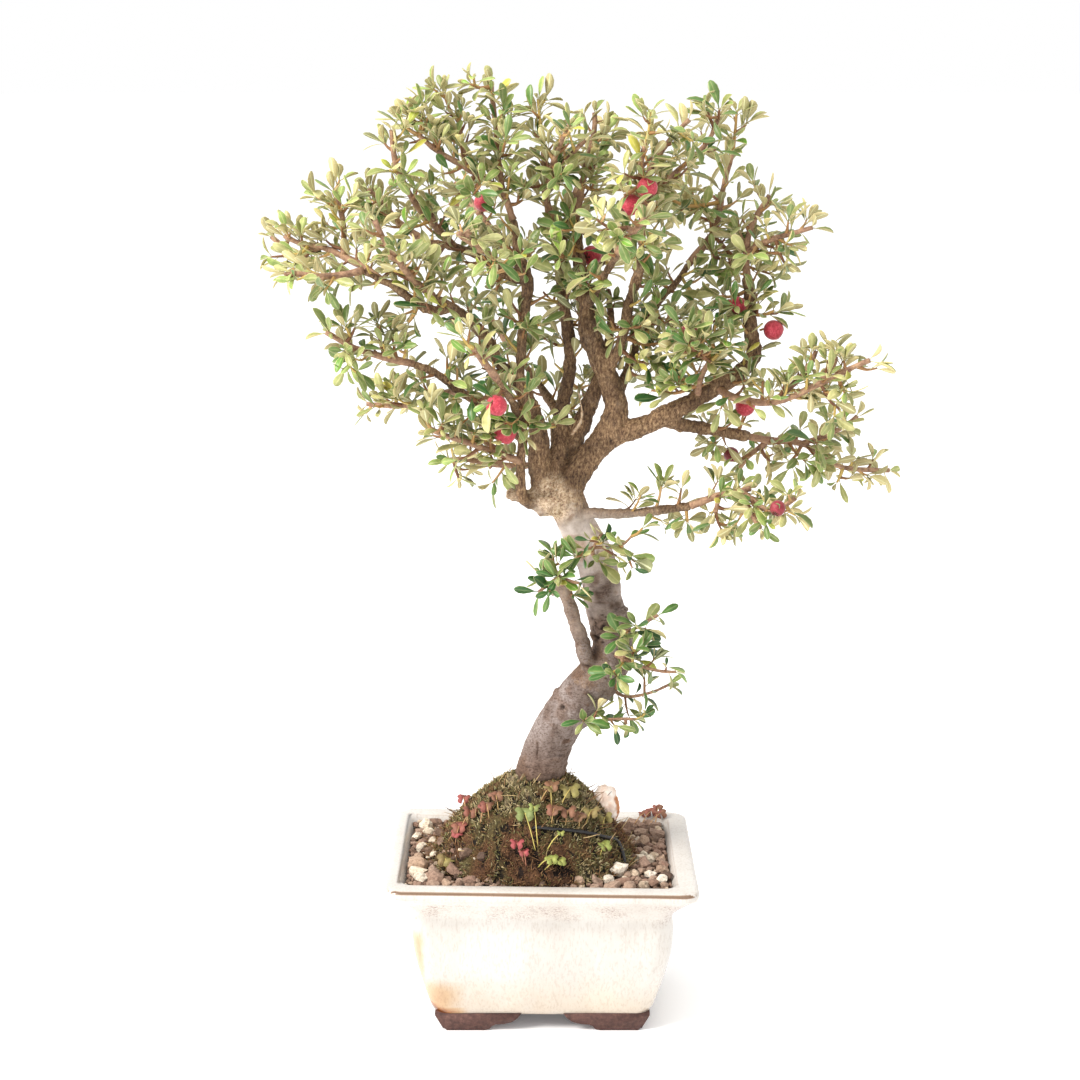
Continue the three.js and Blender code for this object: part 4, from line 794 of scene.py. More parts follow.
def wood():
    """The wood with its bark relief. Its heights are in the readings' frame: the rings of the trunk are
    strongest under 126 and from 166 to 196, and painted light makes it paler from 192 to 226, under the
    burl, and a little from 162, against the crown's shade."""
    mesh = wood_skin()
    middles = wood_middles()
    tree = searchable([row[0] for row in middles])
    marks = list(zip(mark_places(), MARKS))
    rough, hollow_shade, wound, brown, pale, moved = [], [], [], [], [], []
    for vertex in mesh.vertices:
        p = vertex.co
        _, i, _ = tree.find(p)
        _, radius, bark, cut = middles[i]
        z = p.z - SHIFT.z
        near_burl = max(0.0, 1 - (p - BURL).length / 13)
        if bark == 1.0 and z < 240:
            bark = smoothstep(212, 226, z)
        bark = max(bark, min(1.0, near_burl * 2.4))
        coarse = noise.fractal(p / 8, 1.0, 2.0, 3)
        fine = noise.fractal(p / 2, 0.9, 2.0, 3)
        rings = noise.noise(Vector((p.x / 7, p.y / 7, p.z / 1.1)) + noise.noise_vector(p / 9))
        ringed = max(smoothstep(126, 112, z), 0.8 * smoothstep(166, 174, z) * smoothstep(196, 186, z), 0.22)
        lift_trunk = 0.42 * rings * ringed + 0.1 * fine
        flutes = noise.noise(Vector((p.x / 1.5, p.y / 1.5, p.z / 6)) + 0.6 * noise.noise_vector(p / 6))
        lift_limb = (0.4 * fine + 0.45 * flutes) * min(1.0, radius / 3.2)
        swirl = noise.fractal(p / 1.5 + 1.2 * noise.noise_vector(p / 4.5), 0.8, 2.0, 2)
        knot = smoothstep(9.5, 4, (p - WOUND).length)
        detail = lift_trunk * (1 - bark) + lift_limb * bark + (0.8 * near_burl + 0.8 * knot) * swirl
        lift, dark, stain = marked_by(marks, p, detail + (0.3 + 0.8 * near_burl) * coarse)
        if bark < 0.5:
            patches = smoothstep(0.0, 0.4, noise.fractal(p / 7 + Vector((3, 9, 1)), 0.9, 2.0, 2))
            low = smoothstep(126, 106, z) * (0.7 + 0.3 * patches)
            wrinkled = 0.15 * smoothstep(164, 172, z) * smoothstep(196, 186, z)
            stain = max(stain, 0.4 * patches, 0.7 * low, wrinkled, 0.4 * knot)
        # Painted light on the trunk under the burl, a little from 162 up, and over the burl, against the
        # crown's shade; the cut ends are pale of their own.
        under_burl = smoothstep(226, 216, z) * (1 - bark)
        light = max(0.9 * smoothstep(192, 206, z) * under_burl,
                    0.5 * smoothstep(162, 172, z) * under_burl * (0.6 + coarse),
                    0.8 * smoothstep(0.0, 0.4, near_burl + 0.12 * coarse), 0.5 * cut)
        moved.append(p + vertex.normal * lift)
        rough.append(bark)
        # How low the relief lies here, which the bark darkens partly as its cracks' own colour and partly
        # as painted shade.
        hollow_shade.append(bounded(0.53 + detail * (0.75 - 0.3 * bark - 0.2 * near_burl)))
        wound.append(dark)
        brown.append(min(1.0, stain))
        pale.append(light)
    for vertex, place in zip(mesh.vertices, moved):
        vertex.co = place
    mark_mesh(mesh, {"rough_bark": rough, "hollow_shade": hollow_shade, "wound": wound, "brown": brown, "pale": pale})
    finish_piece("wood_of_the_tree", mesh, ["cotoneaster_bark"], "bark", "trunk_and_branches")


# Leaves

# How far along a leaf each row stands, and how wide half of it is there, on a leaf one unit long.
LEAF_ROWS = [(0, 0.016), (0.2, 0.022), (0.38, 0.1), (0.6, 0.172), (0.81, 0.172), (0.95, 0.1), (1, 0.025)]
LEAF_THICK = 0.02
LEAF_LENGTH = 10.4
# How sharply each kind of leaf folds along its midrib, and how far its end bends back.
LEAF_BENDS = [(0.25, -0.08), (0.5, -0.2), (0.4, 0.14), (0.1, -0.36), (0.8, -0.1), (-0.2, -0.18),
              (0.6, -0.3)]


def leaf_shape(fold, bend):
    """One leaf a unit long, its stalk at the origin: a thin closed blade, folded along its midrib."""
    bm = bmesh.new()
    bmesh.ops.create_grid(bm, x_segments=2, y_segments=len(LEAF_ROWS) - 1, size=1)
    levels = sorted({round(v.co.y, 4) for v in bm.verts})
    for v in bm.verts:
        along, half = LEAF_ROWS[levels.index(round(v.co.y, 4))]
        v.co = (v.co.x * half, along, 0)
    upper = list(bm.faces)
    made = bmesh.ops.extrude_face_region(bm, geom=upper)
    bmesh.ops.translate(bm, verts=new_verts(made), vec=(0, 0, -LEAF_THICK))
    bmesh.ops.recalc_face_normals(bm, faces=bm.faces)
    uv = bm.loops.layers.uv.new("UVMap")
    for face in bm.faces:
        top = all(v.co.z > -LEAF_THICK / 2 for v in face.verts)
        face.material_index = 0 if top else 1
        for loop in face.loops:
            x, along = loop.vert.co.x, loop.vert.co.y
            half = min(LEAF_ROWS, key=lambda row: abs(row[0] - along))[1]
            loop[uv].uv = (0.5 + 0.5 * x / half, along)
    for v in bm.verts:
        x, along = v.co.x, v.co.y
        v.co.z += abs(x) * fold + bend * along * along
    return to_mesh(bm, "leaf")


LEAF_SHAPES = [leaf_shape(*bends) for bends in LEAF_BENDS]


def marked(line):
    """How far along the line each of its places is."""
    marks = [0.0]
    for (a, _), (b, _) in zip(line, line[1:]):
        marks.append(marks[-1] + (b - a).length)
    return marks


def place_at(line, marks, far):
    """The place, radius and direction that far along a line."""
    i = 0
    while i < len(marks) - 2 and marks[i + 1] < far:
        i += 1
    share = (far - marks[i]) / max(1e-6, marks[i + 1] - marks[i])
    (a, ra), (b, rb) = line[i], line[i + 1]
    return a.lerp(b, share), ra + (rb - ra) * share, (b - a).normalized()


WOOD_PLACES = [pair for line in (TRUNK_LINE, *LIMB_LINES.values()) for pair in line]
WOOD_TREE = searchable([place for place, _ in WOOD_PLACES])


def in_wood(place, room=0.6):
    """Whether a place is inside the wood, or less than that far from it."""
    _, i, away = WOOD_TREE.find(place)
    return away < WOOD_PLACES[i][1] + room


def in_box(place):
    """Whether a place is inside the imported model's box, give or take a little."""
    return all(low / MM - 1.5 < c < high / MM + 1.5 for low, c, high in zip(CAD_BOX[0], place, CAD_BOX[1]))


def leaf_place(base, along, facing, size, wide, rng, tint):
    """A leaf as its turn and size, its kind and its tint."""
    along = along.normalized()
    side = along.cross(facing)
    if side.length < 0.05:
        side = along.cross(Vector((1, 0.3, 0.2)))
    side.normalize()
    normal = side.cross(along)
    turn = Matrix((side * size * wide, along * size, normal * size)).transposed().to_4x4()
    turn.translation = base
    return turn, rng.randrange(len(LEAF_SHAPES)), tint


def across(direction, degrees):
    """A direction square to the given one, turned round it by an angle from level."""
    level = direction.cross(UP)
    if level.length < 0.15:
        level = Vector((1, 0, 0))
    level.normalize()
    over = level.cross(direction).normalized()
    angle = math.radians(degrees)
    return level * math.cos(angle) + over * math.sin(angle)


def leaf_size(rng):
    """The length of one leaf, from half the usual to 1.3 times it."""
    return LEAF_LENGTH * min(1.3, max(0.5, rng.gauss(0.92, 0.19)))


def sunlit(place):
    """How far out in the crown a place is: 0 in its middle and 1 at its outline."""
    p = place - SHIFT - Vector((8, 0, 300))
    return math.sqrt((p.x / 130) ** 2 + (p.y / 75) ** 2 + (p.z / 100) ** 2)


def leaf_tint(rng, tone, place):
    """Leaves inside the crown are darker and those at its outline paler, partly older and younger leaves
    and partly painted shade and light; a few young ones are bright.
    """
    if rng.random() < 0.04:
        return rng.uniform(0.9, 1.0)
    # Darker inside the crown and paler at its outline: partly leaf age, partly painted shade and light.
    out = 0.3 * (sunlit(place) - 0.6) if place.z - SHIFT.z > 225 else 0
    return bounded(rng.gauss(tone + out, 0.22), 0.88)


# Wood and fruit that no leaf hides in the front view: x, z and how wide round it.
OPEN = [(2.5, 268, 7), (6, 281, 5), (-8, 265, 3), (0, 312, 6), (19, 329, 5), (93, 266, 4), (80, 250, 6),
        (31, 301, 5), (26, 324, 3), (40, 217, 5), (50, 218, 4), (30, 217, 6), (62, 221, 3), (110, 247, 4),
        (-43, 276, 3), (-27, 281, 3), (15, 244, 12), (24, 252, 9), (40, 256, 6), (31, 262, 6), (55, 261, 5),
        (21, 325.5, 4.5), (37, 345, 3.6), (45, 352, 2.6), (-24, 347, 2.6), (96, 295, 4.4),
        (85, 263.5, 4.6), (-16.5, 264, 2.4), (-15.5, 251, 3.4)]


def hides(leaf):
    """Whether a leaf's middle is in front of an open place."""
    p = leaf[0] @ Vector((0, 0.6, 0)) - SHIFT - EYE
    p = EYE + p * (-EYE.y / p.y)
    return any(math.hypot(p.x - x, p.z - z) < wide for x, z, wide in OPEN)


def leaves_on(line, rng, start, gap, tone, sparse=0.0):
    """Leaves left and right along a shoot, fewer towards its end if it is sparse, and some at its tip."""
    marks = marked(line)
    leaves = []
    far = start
    side = rng.choice((0, 180))
    while far < marks[-1] - 0.8:
        base, radius, direction = place_at(line, marks, far)
        out = across(direction, side + rng.uniform(-45, 65))
        along = direction * rng.uniform(0.2, 1.0) + out + UP * rng.uniform(-0.15, 0.5)
        facing = UP * rng.uniform(0.2, 1.1) + direction * 0.5 + out * rng.uniform(-0.8, 0.3)
        leaves.append(leaf_place(base + out * radius * 0.5, along, facing, leaf_size(rng),
                                 rng.uniform(0.72, 1.12) * (1.12 if base.z - SHIFT.z < 215 else 1), rng,
                                 leaf_tint(rng, tone, base)))
        side += 180 + rng.uniform(-30, 30)
        far += gap * rng.uniform(0.6, 1.4) * (1 + sparse * smoothstep(marks[-1] - 16, marks[-1] - 4, far))
    base, radius, direction = place_at(line, marks, marks[-1] - 0.4)
    turn = rng.uniform(0, 360)
    for k in range(2 if sparse else rng.choice((2, 3, 3, 4, 5))):
        out = across(direction, turn + 137.5 * k)
        along = direction * rng.uniform(0.7, 1.8) + out + UP * rng.uniform(0.0, 0.3)
        facing = direction * 0.9 - out * 0.5 + UP * 0.4
        leaves.append(leaf_place(base, along, facing, leaf_size(rng) * 0.88, rng.uniform(0.8, 1.1), rng,
                                 leaf_tint(rng, tone + 0.08, base)))
    return [leaf for leaf in leaves if not hides(leaf) and not in_wood(leaf[0] @ Vector((0, 0.55, 0)))
            and not in_wood(leaf[0] @ Vector((0, 1, 0))) and in_box(leaf[0] @ Vector((0, 1, 0)))]


def shoot(base, way, long, thick, rise):
    """A short woody spur that runs on into a thin shoot bending upwards."""
    knee = base + way * min(2.2, long * 0.25)
    middle = base + way * long * 0.55
    tip = middle + (way + UP * rise).normalized() * long * 0.45
    return smooth([base, knee, middle, tip], [thick, thick * 0.86, 0.55, 0.36], 2.5)


def side_shoots(line, rng, start, gap, length):
    """Short side shoots, left and right, that bend upwards."""
    marks = marked(line)
    shoots = []
    far = start + gap * rng.uniform(0.2, 0.8)
    side = rng.choice((0, 180))
    while far < marks[-1] - 2:
        base, radius, direction = place_at(line, marks, far)
        out = across(direction, side + rng.uniform(-60, 75))
        way = (direction * rng.uniform(0.2, 0.8) + out + UP * rng.uniform(-0.15, 0.5)).normalized()
        long = length * rng.uniform(0.5, 1.25) * (1 - 0.35 * far / marks[-1])
        made = shoot(base, way, long, min(radius, rng.uniform(0.75, 1.15)), rng.uniform(0.1, 0.6))
        if not in_wood(made[-1][0], 2) and in_box(made[-1][0]):
            shoots.append(made)
        side += 180 + rng.uniform(-30, 30)
        far += gap * rng.uniform(0.6, 1.4)
    return shoots


# How green the leaves of a spray are, from dark to pale. The other sprays have the usual tone.
USUAL_TONE = 0.54
TONES = {
    "trunk_upper": 0.3, "side_stem": 0.24, "trunk_middle": 0.28, "trunk_wound": 0.38, "trunk_right": 0.3,
    "trunk_low": 0.3, "low_tip": 0.42, "right_far": 0.46, "right_bud": 0.58, "right_inner": 0.45,
    "long_left": 0.5, "middle_left": 0.45, "left_tip": 0.6, "under_left": 0.55, "lowest_left": 0.66,
    "low_left": 0.55, "right_shoulder": 0.52, "back_low": 0.3, "back_left": 0.45, "back_right": 0.45,
    "front_low": 0.45,
}

# How many millimetres of a twig's end are left to the leaves at its tip, where it isn't the usual.
USUAL_TRIM = 7
TRIMS = {"right_far": 4, "trunk_wound": 8, "side_stem": 5, "trunk_upper": 4, "right_top": 14,
         "crown_right": 14, "upper_right": 8}

# What the tints of the thin shoots are drawn from.
SHOOT_TINTS = (0.0, 0.0, 0.1, 0.15, 0.25, 0.4, 0.6, 0.9)

# More leafy twigs, at places read off the front view and at depths that fill the crown.
TUFTS = {
    "upper_right": [(45, 281, -4), (52, 290, 2), (38, 296, -14), (58, 300, 6), (49, 335, -9), (28, 296, -2),
                    (44.5, 383, -24), (42, 330, -22), (34, 326, -16), (72, 384, 4), (42, 357, -24),
                    (34, 350, -24)],
    "right_inner": [(58, 296, -31), (65, 291, -31), (46, 270, -8), (56, 276, -12), (62, 284, -4),
                    (72, 297, -12), (77, 292, -21), (67, 289, -19), (70, 302, -4)],
    "right_top": [(78, 322, 12), (64, 310, 26), (56, 296, 30), (94, 318, 14), (48, 317, 18), (59, 353, 36),
                  (43, 276, 14), (46, 352, 10), (79, 383, 20)],
    "right_shoulder": [(96, 346, 6), (73, 309, 4), (82, 318, 6), (100, 322, -4), (96, 303, -4),
                       (80, 305, -8)],
    "right_bud": [(126, 269, -26), (112, 270, -22), (92, 274, -16), (124, 262, -20)],
    "right_far": [(96, 240, 13), (127, 254, 7), (70, 246, 10), (104, 240, 18), (124, 231, 20)],
    "low_tip": [(107, 217, -32), (80, 220, -19), (76, 211, -23), (62, 214, -16)],
    "leader_top": [(14, 262, 26), (20, 272, 30), (4, 290, 26), (16, 300, 30), (17, 256, 20), (-1, 388, 0),
                   (2, 310, 30)],
    "left_fork": [(-39, 315, -15), (-50, 321, -28), (-46, 312, -20)],
    "crown_left": [(-45, 381, -4), (-28, 355, -4), (-7, 348, -4), (-31, 384, 2), (0, 297, -12),
                   (-19, 379, 6), (6, 256, -18), (-12, 300, -16), (-56, 380, -6), (-47, 386, -2),
                   (-39, 391, 2), (-28, 394, 4), (-8, 326, -16), (-14, 371, -12), (-40, 372, -12),
                   (-27, 350, -16)],
    "crown_right": [(24, 352, 8), (28, 372, 12), (8, 338, 16), (8, 325, -12), (20, 314, -10),
                    (13, 336, -10)],
    "long_left": [(-54, 298, -20)],
    "left_tip": [(-81, 356, 4), (-86, 337, -2), (-67, 335, -14), (-57, 327, -20), (-80, 346, -8)],
    "middle_left": [(-76, 296, -27), (-37, 280, -17), (-80, 279, -30), (-67, 298, -14), (-55, 290, -22),
                    (-22, 268, -22), (-9, 258, -24)],
    "red_shoot": [(-45, 354, 2), (-57, 353, -8)],
    "upper_left": [(-28, 319, 5), (-18, 311, 0), (-34, 318, 12)],
    "under_left": [(-34, 233, 25)],
    "lowest_left": [(-48, 260, -31), (-40, 256, -26)],
    "low_left": [(-60, 272, 4), (-48, 272, -4)],
    "back_low": [(-29, 306, 60), (4, 276, 30), (-6, 285, 34)],
    "front_low": [(-32, 292, -54)],
    "front_right": [(23, 340, -50)],
    "side_stem": [(0.4, 191.6, -20), (14.4, 182.4, -14), (8, 196, -22)],
    "trunk_upper": [(43, 211.5, -21), (40, 197, -18), (21, 206, -20), (15, 199, -22)],
    "trunk_middle": [(30, 148, -24), (44, 160, -24)],
    "trunk_wound": [(41, 169, -18)],
    "trunk_low": [(45, 130, -19)],
}


def add_tubes(bm, lines, roundness, finish, tints, tint_layer):
    """Adds twigs to a mesh, each with its own tint."""
    for line, tint in zip(lines, tints):
        mesh = to_mesh(tubes([line], roundness), "twig")
        for face in mesh.polygons:
            face.material_index = finish
        for v in join(bm, mesh):
            v[tint_layer] = tint
        bpy.data.meshes.remove(mesh)


def trimmed(line, off):
    """A line without its last few millimetres, where the leaves of its tip stand."""
    marks = marked(line)
    return [pair for pair, far in zip(line, marks) if far <= max(marks[-1] - off, marks[1])]


def tuft_twig(spot, lines):
    """A thin twig from the nearest of the lines to a place."""
    target = seen(*spot)
    places = [pair for line in lines for pair in line]
    base, radius = min(places, key=lambda pair: (pair[0] - target).length)
    bend = base.lerp(target, 0.5) + Vector((0, 0, -0.12 * (target - base).length))
    return smooth([base, bend, target], [min(radius, 1.0), 0.45], 2.5)


def spray(name, limbs):
    """One branch's leaves with their twigs and shoots. Sprays on the trunk are thinner and shorter."""
    rng = random.Random(name)
    tone = TONES.get(name, USUAL_TONE)
    on_trunk = name.startswith("trunk") or name == "side_stem"
    twigs = []
    for k, points in enumerate(SPRAYS[name]):
        radii = [0.85, 0.55] if on_trunk else [1.3, 0.85] if k else [1.7, 0.95]
        line = smooth([seen(*point) for point in points], radii, 2.5)
        line = trimmed(line, TRIMS.get(name, USUAL_TRIM))
        twigs.append([(place, radius * rng.uniform(0.88, 1.16)) for place, radius in line])
    tufts = [tuft_twig(spot, twigs + [line for line, _ in limbs]) for spot in TUFTS.get(name, ())]
    shoots, leaves = [], []
    for line in twigs:
        start = 6 if line is twigs[0] else 2
        shoots += side_shoots(line, rng, start, 8 if on_trunk else 4.4, 8 if on_trunk else 11)
        leaves += leaves_on(line, rng, start + 2, 3.4, tone, 1.0)
    for line, start in limbs:
        shoots += side_shoots(line, rng, start * marked(line)[-1], 4.6, 12)
    for line in tufts:
        shoots += side_shoots(line, rng, 2, 8 if on_trunk else 4, 8)
    for line in shoots + tufts:
        leaves += leaves_on(line, rng, 3.2, 2.5, tone)
    bm = bmesh.new()
    bm.loops.layers.uv.new("UVMap")
    tint_layer = bm.verts.layers.float.new("tint")
    add_tubes(bm, twigs, 1, 2, [0.0] * len(twigs), tint_layer)
    thin = shoots + tufts
    add_tubes(bm, thin, 0, 3, [rng.choice(SHOOT_TINTS) for _ in thin], tint_layer)
    scatter(bm, [(LEAF_SHAPES[kind], turn, tint) for turn, kind, tint in leaves])
    finish_piece(f"leafy_{name}", to_mesh(bm, name),
                 ["leaf_upper", "leaf_under", "twig_bark", "young_shoot"], "leaves", f"spray_{name}")


def sprays():
    """Every spray, with the limbs on which it has side shoots too."""
    for name in SPRAYS:
        limbs = [(LIMB_LINES[limb], start) for limb, start, joined in LEAFY_LIMBS if joined == name]
        spray(name, limbs)


# Berries

SEPALS = 5


def berry_middle(number, row):
    """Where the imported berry's middle is: the place on its line of sight that most of its corners are one
    radius away from. Also the far end of its stalk."""
    x, z, radius = row
    corners = [v.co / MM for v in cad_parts[f"berry_{number}"].data.vertices]
    best, most = None, -1
    for step in range(-1400, 1400):
        place = seen(x, z, step * 0.05)
        count = sum(abs((corner - place).length - radius) < 0.05 for corner in corners)
        if count > most:
            best, most = place, count
    return best, max(corners, key=lambda corner: (corner - best).length)


def berry(number, row, dark):
    """A berry on its stalk, dimpled at its end, where five dry sepals stand."""
    radius = row[2]
    middle, stalk_end = berry_middle(number, row)
    rng = random.Random(number)
    hang = (middle - stalk_end).normalized()
    end = (hang + Vector((0, 0.4, -0.6))).normalized()
    turn = end.to_track_quat("Z", "Y").to_matrix().to_4x4()
    turn.translation = middle
    bm = bmesh.new()
    tint_layer = bm.verts.layers.float.new("tint")
    ball = bmesh.ops.create_uvsphere(bm, u_segments=20, v_segments=14, radius=radius)["verts"]
    for v in ball:
        top = max(0.0, v.co.z / radius)
        v.co.z -= 0.22 * radius * smoothstep(0.82, 1.0, top)
        v.co *= 1 + 0.03 * noise.noise(v.co / radius * 1.3 + Vector((number, 0, 0)))
        v.co.z *= 1.04
    for k in range(SEPALS):
        angle = 2 * math.pi * k / SEPALS + rng.uniform(-0.15, 0.15)
        sepal = bmesh.ops.create_cone(bm, segments=5, radius1=0.55, radius2=0.08, depth=1.7,
                                      cap_ends=True)
        lean = Matrix.Rotation(angle, 4, "Z") @ Matrix.Translation((0.85, 0, radius * 0.86)) @ \
            Matrix.Rotation(-1.15, 4, "Y")
        bmesh.ops.transform(bm, matrix=lean, verts=sepal["verts"])
        for v in sepal["verts"]:
            for face in v.link_faces:
                face.material_index = 1
    bmesh.ops.transform(bm, matrix=turn, verts=bm.verts)
    # dark is how much painted shade darkens this berry.
    for v in bm.verts:
        v[tint_layer] = dark
    back = middle - (middle - stalk_end) * 0.2
    bend = back.lerp(stalk_end, 0.5) + Vector((0, 0, 0.6))
    add_tubes(bm, [smooth([middle - hang * radius * 0.8, bend, stalk_end], [0.55, 0.5], 1.5)], 1, 2, [0.3],
              tint_layer)
    finish_piece(f"ripe_berry_{number}", to_mesh(bm, "berry"), ["berry_skin", "dry_calyx", "young_shoot"],
                 "berry_skin", f"berry_{number}")


# Pot

# The wall's rows: how far in from the edge of the rim, the corner's radius, and the height.
POT_OUTSIDE = [
    (19.5, 6, BASE_BOTTOM), (18, 7, 7.5), (15.6, 8, 15), (12.8, 9, 25), (10.8, 9, 35), (10, 9, 46),
    (10.2, 9, 52), (7.4, 8.5, 56.5), (3.8, 8, 60.5), (1.4, 7.5, 63.2), (0.3, 7, 64.1), (0, 7, 65.2),
    (0.05, 7, 66.3), (0.2, 7, 66.8), (0.5, 7, 67.2), (0.9, 7, 67.5), (1.5, 7, 67.8),
]
POT_INSIDE = [
    (4, 7, 68.1), (7.4, 6.5, 68), (8.2, 6.5, 67.8), (8.8, 6.5, 67.5), (9.4, 6.5, 67), (10.6, 6, 65.6),
    (12, 6, 60), (15, 6, 50), (17.5, 6, 35), (20.5, 6, 20), (23.5, 5, INNER_FLOOR),
]


# Which way each corner of the pot lies, in turn, and what share of a quarter round is straight.
CORNERS = [(1, -1), (1, 1), (-1, 1), (-1, -1)]
STRAIGHT = 0.32


def rounded_place(share, half_x, half_y, corner):
    """A place on a rounded rectangle, share of the way round it, with the same steps at each height."""
    quarter, part = divmod(share * 4, 1)
    quarter = int(quarter)

    def on_corner(number, degrees):
        side_x, side_y = CORNERS[number % 4]
        angle = math.radians(degrees)
        return (side_x * (half_x - corner) + corner * math.cos(angle),
                side_y * (half_y - corner) + corner * math.sin(angle))

    start = quarter * 90 - 90
    if part < 1 - STRAIGHT:
        return on_corner(quarter, start + 90 * part / (1 - STRAIGHT))
    along = (part - (1 - STRAIGHT)) / STRAIGHT
    first, last = on_corner(quarter, start + 90), on_corner(quarter + 1, start + 90)
    return first[0] + (last[0] - first[0]) * along, first[1] + (last[1] - first[1]) * along


def pot_rows():
    """The wall's rows with more rows between them, on one smooth line."""
    rows = [Vector((inset, corner, z)) for inset, corner, z in POT_OUTSIDE + POT_INSIDE]
    return [place for place, _ in smooth(rows, [1, 1], 2.2)]


def sag(x, z):
    """How far the rim sagged at x in the kiln, to the right, and how far the wall under it followed."""
    return RIM_LEAN * smoothstep(30, RIM_TOP, z) * x / RIM_HALF[0]


def foot_shape(reach, drop):
    """The cloud outline of a foot's side, from the corner to the gap: far, high."""
    return [(0.4, 0.6), (0.6, -0.4), (1.2, -drop + 0.9), (2.2, -drop), (reach - 16, -drop),
            (reach - 13.6, -drop + 0.5), (reach - 12.6, -drop + 1.9), (reach - 11, -drop + 2.7),
            (reach - 7.5, -drop + 2.9), (reach - 4, -drop + 3.9), (reach - 1.5, -drop + 5.9),
            (reach, 0.6)]


def foot_bar(bm, reach, drop, thick, turn):
    """One side of a foot: its outline, extruded and eased at its edges."""
    outline = [bm.verts.new((far, 0, high)) for far, high in foot_shape(reach, drop)]
    face = bm.faces.new(outline)
    moved = new_verts(bmesh.ops.extrude_face_region(bm, geom=[face]))
    bmesh.ops.translate(bm, verts=moved, vec=(0, thick, 0))
    bmesh.ops.transform(bm, matrix=turn, verts=outline + moved)


FOOT_REACH = (37, 25)
FOOT_THICK = 8


def feet():
    """Four cloud feet, two bars at each corner, drawn in towards their ends."""
    drop = BASE_BOTTOM - FLOOR
    bm = bmesh.new()
    for sx in (-1, 1):
        for sy in (-1, 1):
            corner = Matrix.Translation((POT_X, 0, BASE_BOTTOM)) @ Matrix.Diagonal((sx, sy, 1, 1)) @ \
                Matrix.Translation((BASE_HALF[0], BASE_HALF[1], 0))
            foot_bar(bm, FOOT_REACH[0], drop, FOOT_THICK, corner @ Matrix.Rotation(math.pi, 4, "Z"))
            foot_bar(bm, FOOT_REACH[1], drop, FOOT_THICK, corner @
                     Matrix.Rotation(-math.pi / 2, 4, "Z") @ Matrix.Translation((0, -FOOT_THICK, 0)))
    for v in bm.verts:
        down = smoothstep(0, drop, BASE_BOTTOM - v.co.z)
        for axis, middle, inward in ((0, POT_X, 3.2), (1, 0, 0.8)):
            out = v.co[axis] - middle
            edge = smoothstep(BASE_HALF[axis] - 9, BASE_HALF[axis], abs(out))
            v.co[axis] -= math.copysign(inward * down * edge, out)
    bmesh.ops.triangulate(bm, faces=bm.faces)
    bmesh.ops.recalc_face_normals(bm, faces=bm.faces)
    return bm


def pot_wall():
    """The wall, drawn up from the foot and down inside ring by ring, and closed below and at its floor."""
    rows = pot_rows()
    around = 100
    bm = bmesh.new()
    ring = bmesh.ops.create_circle(bm, segments=around, radius=1)["verts"]
    edges = list(bm.edges)
    first = ring

    def shape(ring, row):
        inset, corner, z = row
        for i, v in enumerate(ring):
            x, y = rounded_place(i / around, RIM_HALF[0] - inset, RIM_HALF[1] - inset, corner)
            wobble = 0.25 * noise.noise(Vector((x, y, z)) / 22)
            v.co = (POT_X + x + wobble, y + wobble, z - sag(x, z))

    shape(ring, rows[0])
    highest = max(range(len(rows)), key=lambda i: rows[i].z)
    for number, row in enumerate(rows[1:], 1):
        made = bmesh.ops.extrude_edge_only(bm, edges=edges)
        edges = [g for g in made["geom"] if isinstance(g, bmesh.types.BMEdge)]
        partner = {}
        for e in [e for v in new_verts(made) for e in v.link_edges]:
            a, b = e.verts
            if a in ring and b not in ring:
                partner[a] = b
            elif b in ring and a not in ring:
                partner[b] = a
        ring = [partner[v] for v in ring]
        shape(ring, row)
        if number > highest:
            for v in ring:
                wide = LEFT_OPENING * smoothstep(54, 64, v.co.z) * smoothstep(3, 10, row[0])
                v.co.x -= wide * smoothstep(-20, -52, v.co.x - POT_X)
    bm.faces.new(ring)
    bm.faces.new(first)
    bmesh.ops.recalc_face_normals(bm, faces=bm.faces)
    return bm


def pot_shape():
    """The pot as one mesh: the wall with its feet, and the two drainage holes cut through the floor."""
    body = link("pot_body", to_mesh(pot_wall(), "pot_body"))
    stands = link("pot_feet", to_mesh(feet(), "pot_feet"))
    drains = bmesh.new()
    for side in (-1, 1):
        where = Matrix.Translation((POT_X + side * HOLE_X, 0, 9))
        bmesh.ops.create_cone(drains, segments=40, radius1=HOLE_RADIUS, radius2=HOLE_RADIUS, depth=16,
                              cap_ends=True, matrix=where)
    holes = link("pot_holes", to_mesh(drains, "pot_holes"))
    for other, how in ((stands, "UNION"), (holes, "DIFFERENCE")):
        step = body.modifiers.new(how, "BOOLEAN")
        step.operation = how
        step.object = other
        step.solver = "EXACT"
        step.use_self = True
    mesh = applied(body)
    for other in (stands, holes):
        bpy.data.objects.remove(other)
    return mesh


# Small tan spots in the glaze: x and z on the front.
GLAZE_SPOTS = ((-32, 44), (-30, 43), (33, 22), (-61, 62), (50, 61), (28, 50))
# The unglazed floor inside the pot is looked for this far in from the edge of the rim.
INSIDE = 11.5


